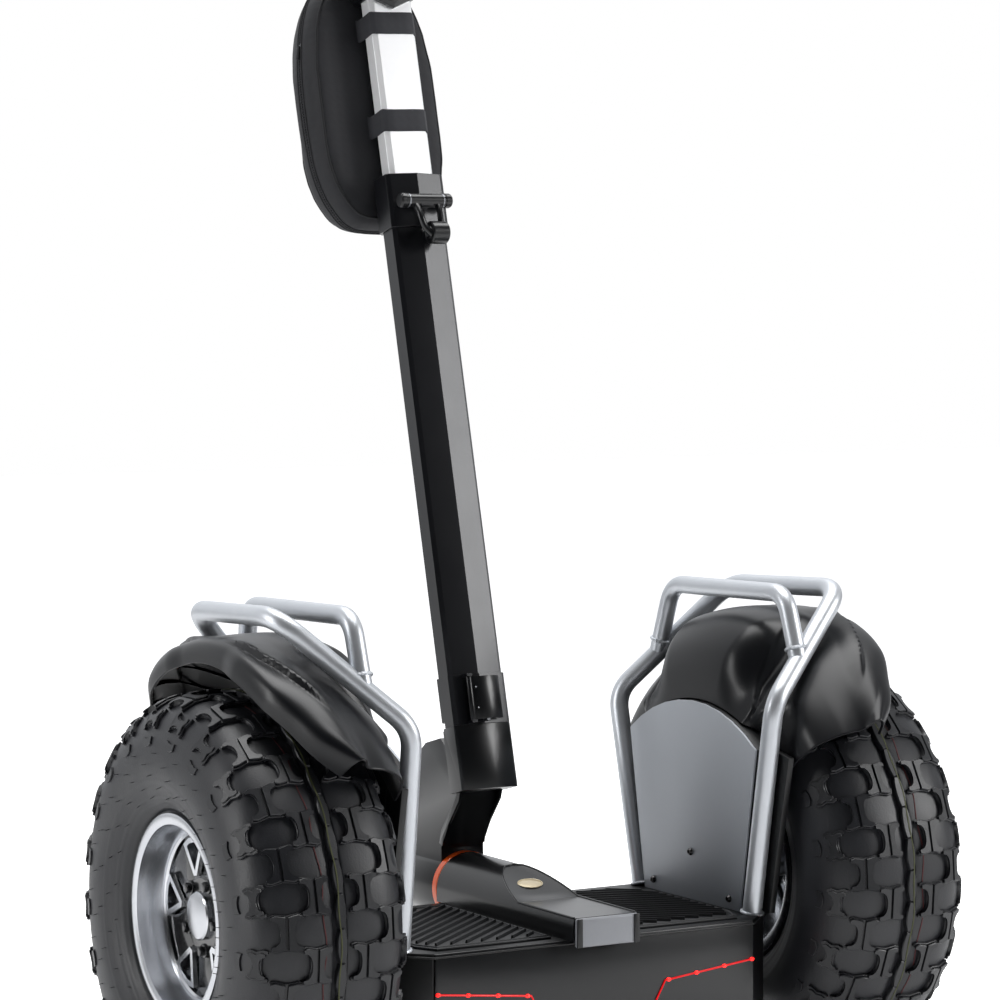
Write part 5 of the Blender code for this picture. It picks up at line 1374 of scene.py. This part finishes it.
def buildBag():
    layers = [(0.0235, 0.30), (0.0235, 0.62), (0.0240, 0.86), (0.0275, 0.925), (0.0350, 0.965),
              (0.0480, 0.990), (0.0620, 0.990), (0.0780, 0.965), (0.0930, 0.915),
              (0.1010, 0.850), (0.1050, 0.74), (0.1065, 0.50), (0.1068, 0.25)]
    rings = [[inColumn(x, depth, s) for x, s in bagOutline(scale)] for depth, scale in layers]
    width = len(rings[0])
    points = [p for ring in rings for p in ring]
    faces = gridFaces(len(rings), width, joinWidth=True)
    faces.append(tuple(range(width)))
    faces.append(tuple((len(rings) - 1) * width + j for j in range(width)))
    shell = meshOf("bag_shell", points, faces, bagCloth, None, fixNormals=True)
    remesh = shell.modifiers.new("Voxel", "REMESH")
    remesh.mode = "VOXEL"
    remesh.voxel_size = bag["voxel"]
    bakeModifiers(shell)
    start = [v.co.copy() for v in shell.data.vertices]
    cloth = shell.modifiers.new("Cloth", "CLOTH")
    cloth.settings.use_pressure = True
    cloth.settings.uniform_pressure_force = bag["pressure"]
    cloth.settings.effector_weights.gravity = 0.0
    cloth.settings.quality = 5
    scene = bpy.context.scene
    scene.frame_start, scene.frame_end = 1, bag["frames"]
    for number in range(1, bag["frames"] + 1):
        scene.frame_set(number)
    bakeModifiers(shell)
    scene.frame_set(1)
    back = inColumn(0, 0, 0)
    forward = (inColumn(0, 1, 0) - back).normalized()
    for vertex, rest in zip(shell.data.vertices, start):
        move = vertex.co - rest
        room = fade(0.024, 0.040,
                    (rest - back).dot(forward))   # the back panel stays flat against the tube
        move = move * room
        if move.length > bag["cap"]:
            move = move.normalized() * bag["cap"]
        vertex.co = rest + move
    smoothing = shell.modifiers.new("Soften", "SMOOTH")
    smoothing.factor = 0.5
    smoothing.iterations = 3
    finer = shell.modifiers.new("Finer", "SUBSURF")
    finer.levels = finer.render_levels = 1
    bakeModifiers(shell)
    shell.data.materials.clear()
    shell.data.materials.append(bagCloth)
    shell.data.shade_smooth()
    skin = BVHTree.FromObject(shell, bpy.context.evaluated_depsgraph_get())

    def seat(point):   # the trim lies on the shell
        return skin.find_nearest(point)[0]

    pieces = [shell]
    for number, (depth, scale) in enumerate(((0.0268, 0.935), (0.0965, 0.905))):   # piping round both panels
        path = [seat(inColumn(x, depth, s)) for x, s in bagOutline(scale)]
        pieces.append(sweep("bag_piping_%d" % (number + 1), path, bag["piping"], zipTape, 10,
                            closedLoop=True))
    middle = [seat(inColumn(x, bag["seam"], s)) for x, s in bagOutline(1.000)]
    tape = []
    for offset in (-0.0052, 0.0052):
        path = [seat(inColumn(x, bag["seam"] + offset, s)) for x, s in bagOutline(0.997)]
        tape.append(sweep("tape", path, 0.0011, zipTape, 8, closedLoop=True))
    pieces.append(mergeShapes("bag_zip_tape", tape))
    bagMiddle = inColumn(bag["shift"], bag["seam"], 0.7545)
    forward = inColumn(0, 1, 0) - inColumn(0, 0, 0)
    teeth = []
    run = 0.0
    for i in range(len(middle)):
        a, b = middle[i], middle[(i + 1) % len(middle)]
        length = (b - a).length
        while run < length:
            spot = a.lerp(b, run / length)
            crest = spot + (spot - bagMiddle).normalized() * 0.0006
            teeth.append((crest - forward * 0.0019, crest + forward * 0.0019))
            run += bag["toothPitch"]
        run -= length
    pieces.append(ribsAlong("bag_zip_teeth", lineMesh("zipLines", teeth), 0.0013, 0.0013, zipTape))
    slider = rod("slider", inColumn(-0.0880, 0.0545, 0.8360), inColumn(-0.0915, 0.0625, 0.8300), 0.0028,
                 steelTurned, 14, 0.0006)
    tab = rod("tab", inColumn(-0.0925, 0.0585, 0.8330), inColumn(-0.0975, 0.0565, 0.8160), 0.0020,
              zipTape, 12, 0.0006)
    pieces.append(mergeShapes("bag_zip_puller", [slider, tab]))
    for number, height in enumerate(bag["straps"], 1):
        pieces.append(buildStrap(number, height))
    for piece in pieces:
        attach(piece, "top")
        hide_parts("bag")


def buildStrap(number, height):
    # Elastic band round the tube, sewn to the bag's back
    w, d = 0.0298, 0.0143
    path = [(-w - 0.004, 0.0262), (-w, 0.0215), (-w, -d + 0.0050), (-w + 0.0050, -d), (w - 0.0050, -d),
            (w, -d + 0.0050), (w, 0.0215), (w + 0.004, 0.0262)]
    line = smoothStretch(path)
    points = []
    half = bag["strapWidth"] / 2
    across = 9
    for i, (x, depth) in enumerate(line):
        for k in range(across):
            t = -1 + 2 * k / (across - 1)
            bow = 0.0006 * math.sin(i * 0.9) * t * t
            points.append(inColumn(x, depth, height + t * half + bow))
    strap = meshOf("bag_strap_%d" % number, points, gridFaces(len(line), across), strapWeb, None)
    wall = strap.modifiers.new("Web", "SOLIDIFY")
    wall.thickness = bag["strapThick"]
    wall.offset = 1.0
    edge = strap.modifiers.new("Edge", "BEVEL")
    edge.width = 0.0004
    edge.segments = 2
    edge.angle_limit = math.radians(60)
    bakeModifiers(strap)
    smoothTo(strap, 50)
    return strap


def smoothStretch(points, steps=4):
    line = []
    for (xa, ya), (xb, yb) in zip(points, points[1:]):
        line += [(xa + (xb - xa) * k / steps, ya + (yb - ya) * k / steps) for k in range(steps)]
    return line + [points[-1]]


buildBag()
print("bag ready")


# ---- parking stand ----

stand = dict(pivotY=0.090, pivotZ=0.0875, footY=0.165, half=0.090, radius=0.0069, bend=0.022,
             padRadius=0.0072)


def buildStand():
    r = stand["radius"]
    footZ = r + 0.0006
    path = [place(-stand["half"], stand["pivotY"], stand["pivotZ"]),
            place(-stand["half"], stand["footY"], footZ),
            place(stand["half"], stand["footY"], footZ),
            place(stand["half"], stand["pivotY"], stand["pivotZ"])]
    frameTube = sweep("tube", roundedPath(path, stand["bend"], 10), r, tubePowder, 28)
    spindle = rod("spindle", place(-0.1045, stand["pivotY"], stand["pivotZ"]),
                  place(0.1045, stand["pivotY"], stand["pivotZ"]), r, tubePowder, 28, 0.0008)
    piece = mergeShapes("stand_tube", [frameTube, spindle])
    smoothTo(piece, 40)
    pads = [rod("pad", place(x - 0.014, stand["footY"], footZ), place(x + 0.014, stand["footY"], footZ),
                stand["padRadius"], gripRubber, 28, 0.0010) for x in (-0.050, 0.050)]
    pad = mergeShapes("stand_pads", pads)
    for part in (piece, pad):
        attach(part, "stand")
        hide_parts("parking_stand")


buildStand()
print("stand ready")


# ---- materials of the CAD solids that stay ----

kept = {"axle_": steelTurned, "drive_gear_": steelTurned, "motor_": steelTurned, "pivot_": steelTurned,
        "fold_pin": steelTurned,
        "panel_screw": blackScrew, "battery_pack": batteryWrap, "control_board": boardLacquer,
        "side_panel": platePaint,
        "side_housing": satinEnamel, "roll_bar": tubePowder, "inner_hoop": tubePowder,
        "parking_stand": tubePowder, "fender": mouldedFender,
        "mat_": ribRubber, "grip_": gripRubber, "deck_shell": satinEnamel, "bottom_plate": satinEnamel,
        "lower_pole": satinEnamel,
        "handlebar_head": glossEnamel, "handlebar": satinEnamel, "rear_facia": darkLens,
        "rear_light": redLens, "hump_cover": glossEnamel,
        "hump_end": greyAbs, "accent_ring": orangeAbs, "steering_stem": glossEnamel,
        "upper_sleeve": glossEnamel, "clamp_collar": glossEnamel,
        "fold_latch": glossEnamel, "clamp_lever": glossEnamel, "upper_tube": brushedTube,
        "display": darkLens, "bag": ribRubber, "button": greyAbs}
for name, solid in cadNodes.items():
    for start, material in kept.items():
        if name.startswith(start):
            solid.data.materials.clear()
            solid.data.materials.append(material)
            break
print("kept solids painted")


# ---- studio ----

view = dict(distance=3.90217, turn=30.032, height=3.135, roll=-0.1955, aimX=-0.034666, aimZ=0.675878,
            lens=125.784)


def buildCamera():
    turn, height, roll = (math.radians(view[k]) for k in ("turn", "height", "roll"))
    back = Vector((-math.sin(turn) * math.cos(height), -math.cos(turn) * math.cos(height), math.sin(height)))
    aim = place(view["aimX"], 0.0, view["aimZ"])
    right = (-back).cross(Vector((0, 0, 1))).normalized()
    up = right.cross(-back)
    rolledRight = right * math.cos(roll) + up * math.sin(roll)
    rolledUp = up * math.cos(roll) - right * math.sin(roll)
    camera = bpy.data.cameras.new("camera")
    camera.lens = view["lens"]
    camera.sensor_width = 36.0
    camera.clip_end = 60.0
    holder = bpy.data.objects.new("camera", camera)
    holder.matrix_world = Matrix.Translation(aim + back * view["distance"]) @ Matrix((rolledRight,
            rolledUp, back)).transposed().to_4x4()
    bpy.context.scene.collection.objects.link(holder)
    bpy.context.scene.camera = holder


def addLight(name, where, target, size, power, tone="ffffff"):
    light = bpy.data.lights.new(name, "AREA")
    light.shape = "RECTANGLE"
    light.size, light.size_y = size
    light.energy = power
    light.color = colour(tone)[:3]
    holder = bpy.data.objects.new(name, light)
    direction = Vector(target) - Vector(where)
    holder.matrix_world = Matrix.Translation(where) @ direction.to_track_quat("-Z", "Y").to_matrix().to_4x4()
    bpy.context.scene.collection.objects.link(holder)


def buildStudio():
    buildCamera()
    world = bpy.data.worlds.new("studio")
    bpy.context.scene.world = world
    world.use_nodes = True
    tree = world.node_tree
    tree.nodes.clear()
    path = addNode(tree, "ShaderNodeLightPath")
    where = addNode(tree, "ShaderNodeTexCoord")
    towards = addNode(tree, "ShaderNodeVectorMath", {"operation": "DOT_PRODUCT", 1: (0.16, 0.88, 0.42)},
                      {0: where.outputs["Generated"]})
    ramp = addNode(tree, "ShaderNodeMapRange", {"From Min": 0.05, "From Max": 0.98, "To Min": 0.02,
                                                "To Max": 1.10}, {"Value": towards.outputs["Value"]})
    lit = addNode(tree, "ShaderNodeBackground", {"Color": colour("f6f8fb")},
                  {"Strength": ramp.outputs["Result"]})
    seen = addNode(tree, "ShaderNodeBackground", {"Color": (1.0, 1.0, 1.0, 1.0), "Strength": 1.0})
    mix = addNode(tree, "ShaderNodeMixShader", links={0: path.outputs["Is Camera Ray"], 1: lit.outputs[0],
                                                      2: seen.outputs[0]})
    addNode(tree, "ShaderNodeOutputWorld", links={"Surface": mix.outputs[0]})
    addLight("overhead softbox", (0.3, 0.2, 3.4), (0, -0.1, 0.4), (2.6, 2.2), 95)
    addLight("left strip", (-3.4, 0.5, 1.4), (0, -0.1, 0.5), (0.6, 2.4), 46)
    addLight("right softbox", (2.9, -2.5, 1.9), (0, -0.1, 0.7), (1.4, 2.0), 92)
    floor = meshOf("floor", [(-14, -14, 0), (14, -14, 0), (14, 14, 0), (-14, 14, 0)], [(0, 1, 2, 3)],
                   None, None)
    paper = makeMaterial("paleStudioPaper", "fbfbfb", 0.95, mottle=(300, "f7f7f7"))
    paperTree = paper.node_tree
    seenBy = addNode(paperTree, "ShaderNodeLightPath")
    brightness = addNode(paperTree, "ShaderNodeMapRange", {"To Min": 0.12, "To Max": 0.72},
                         {"Value": seenBy.outputs["Is Camera Ray"]})
    paperTree.nodes["Principled BSDF"].inputs["Emission Color"].default_value = (1.0, 1.0, 1.0, 1.0)
    paperTree.links.new(brightness.outputs["Result"],
                        paperTree.nodes["Principled BSDF"].inputs["Emission Strength"])
    floor.data.materials.append(paper)
    bpy.context.scene.view_settings.view_transform = "Standard"


buildStudio()
print("studio ready")
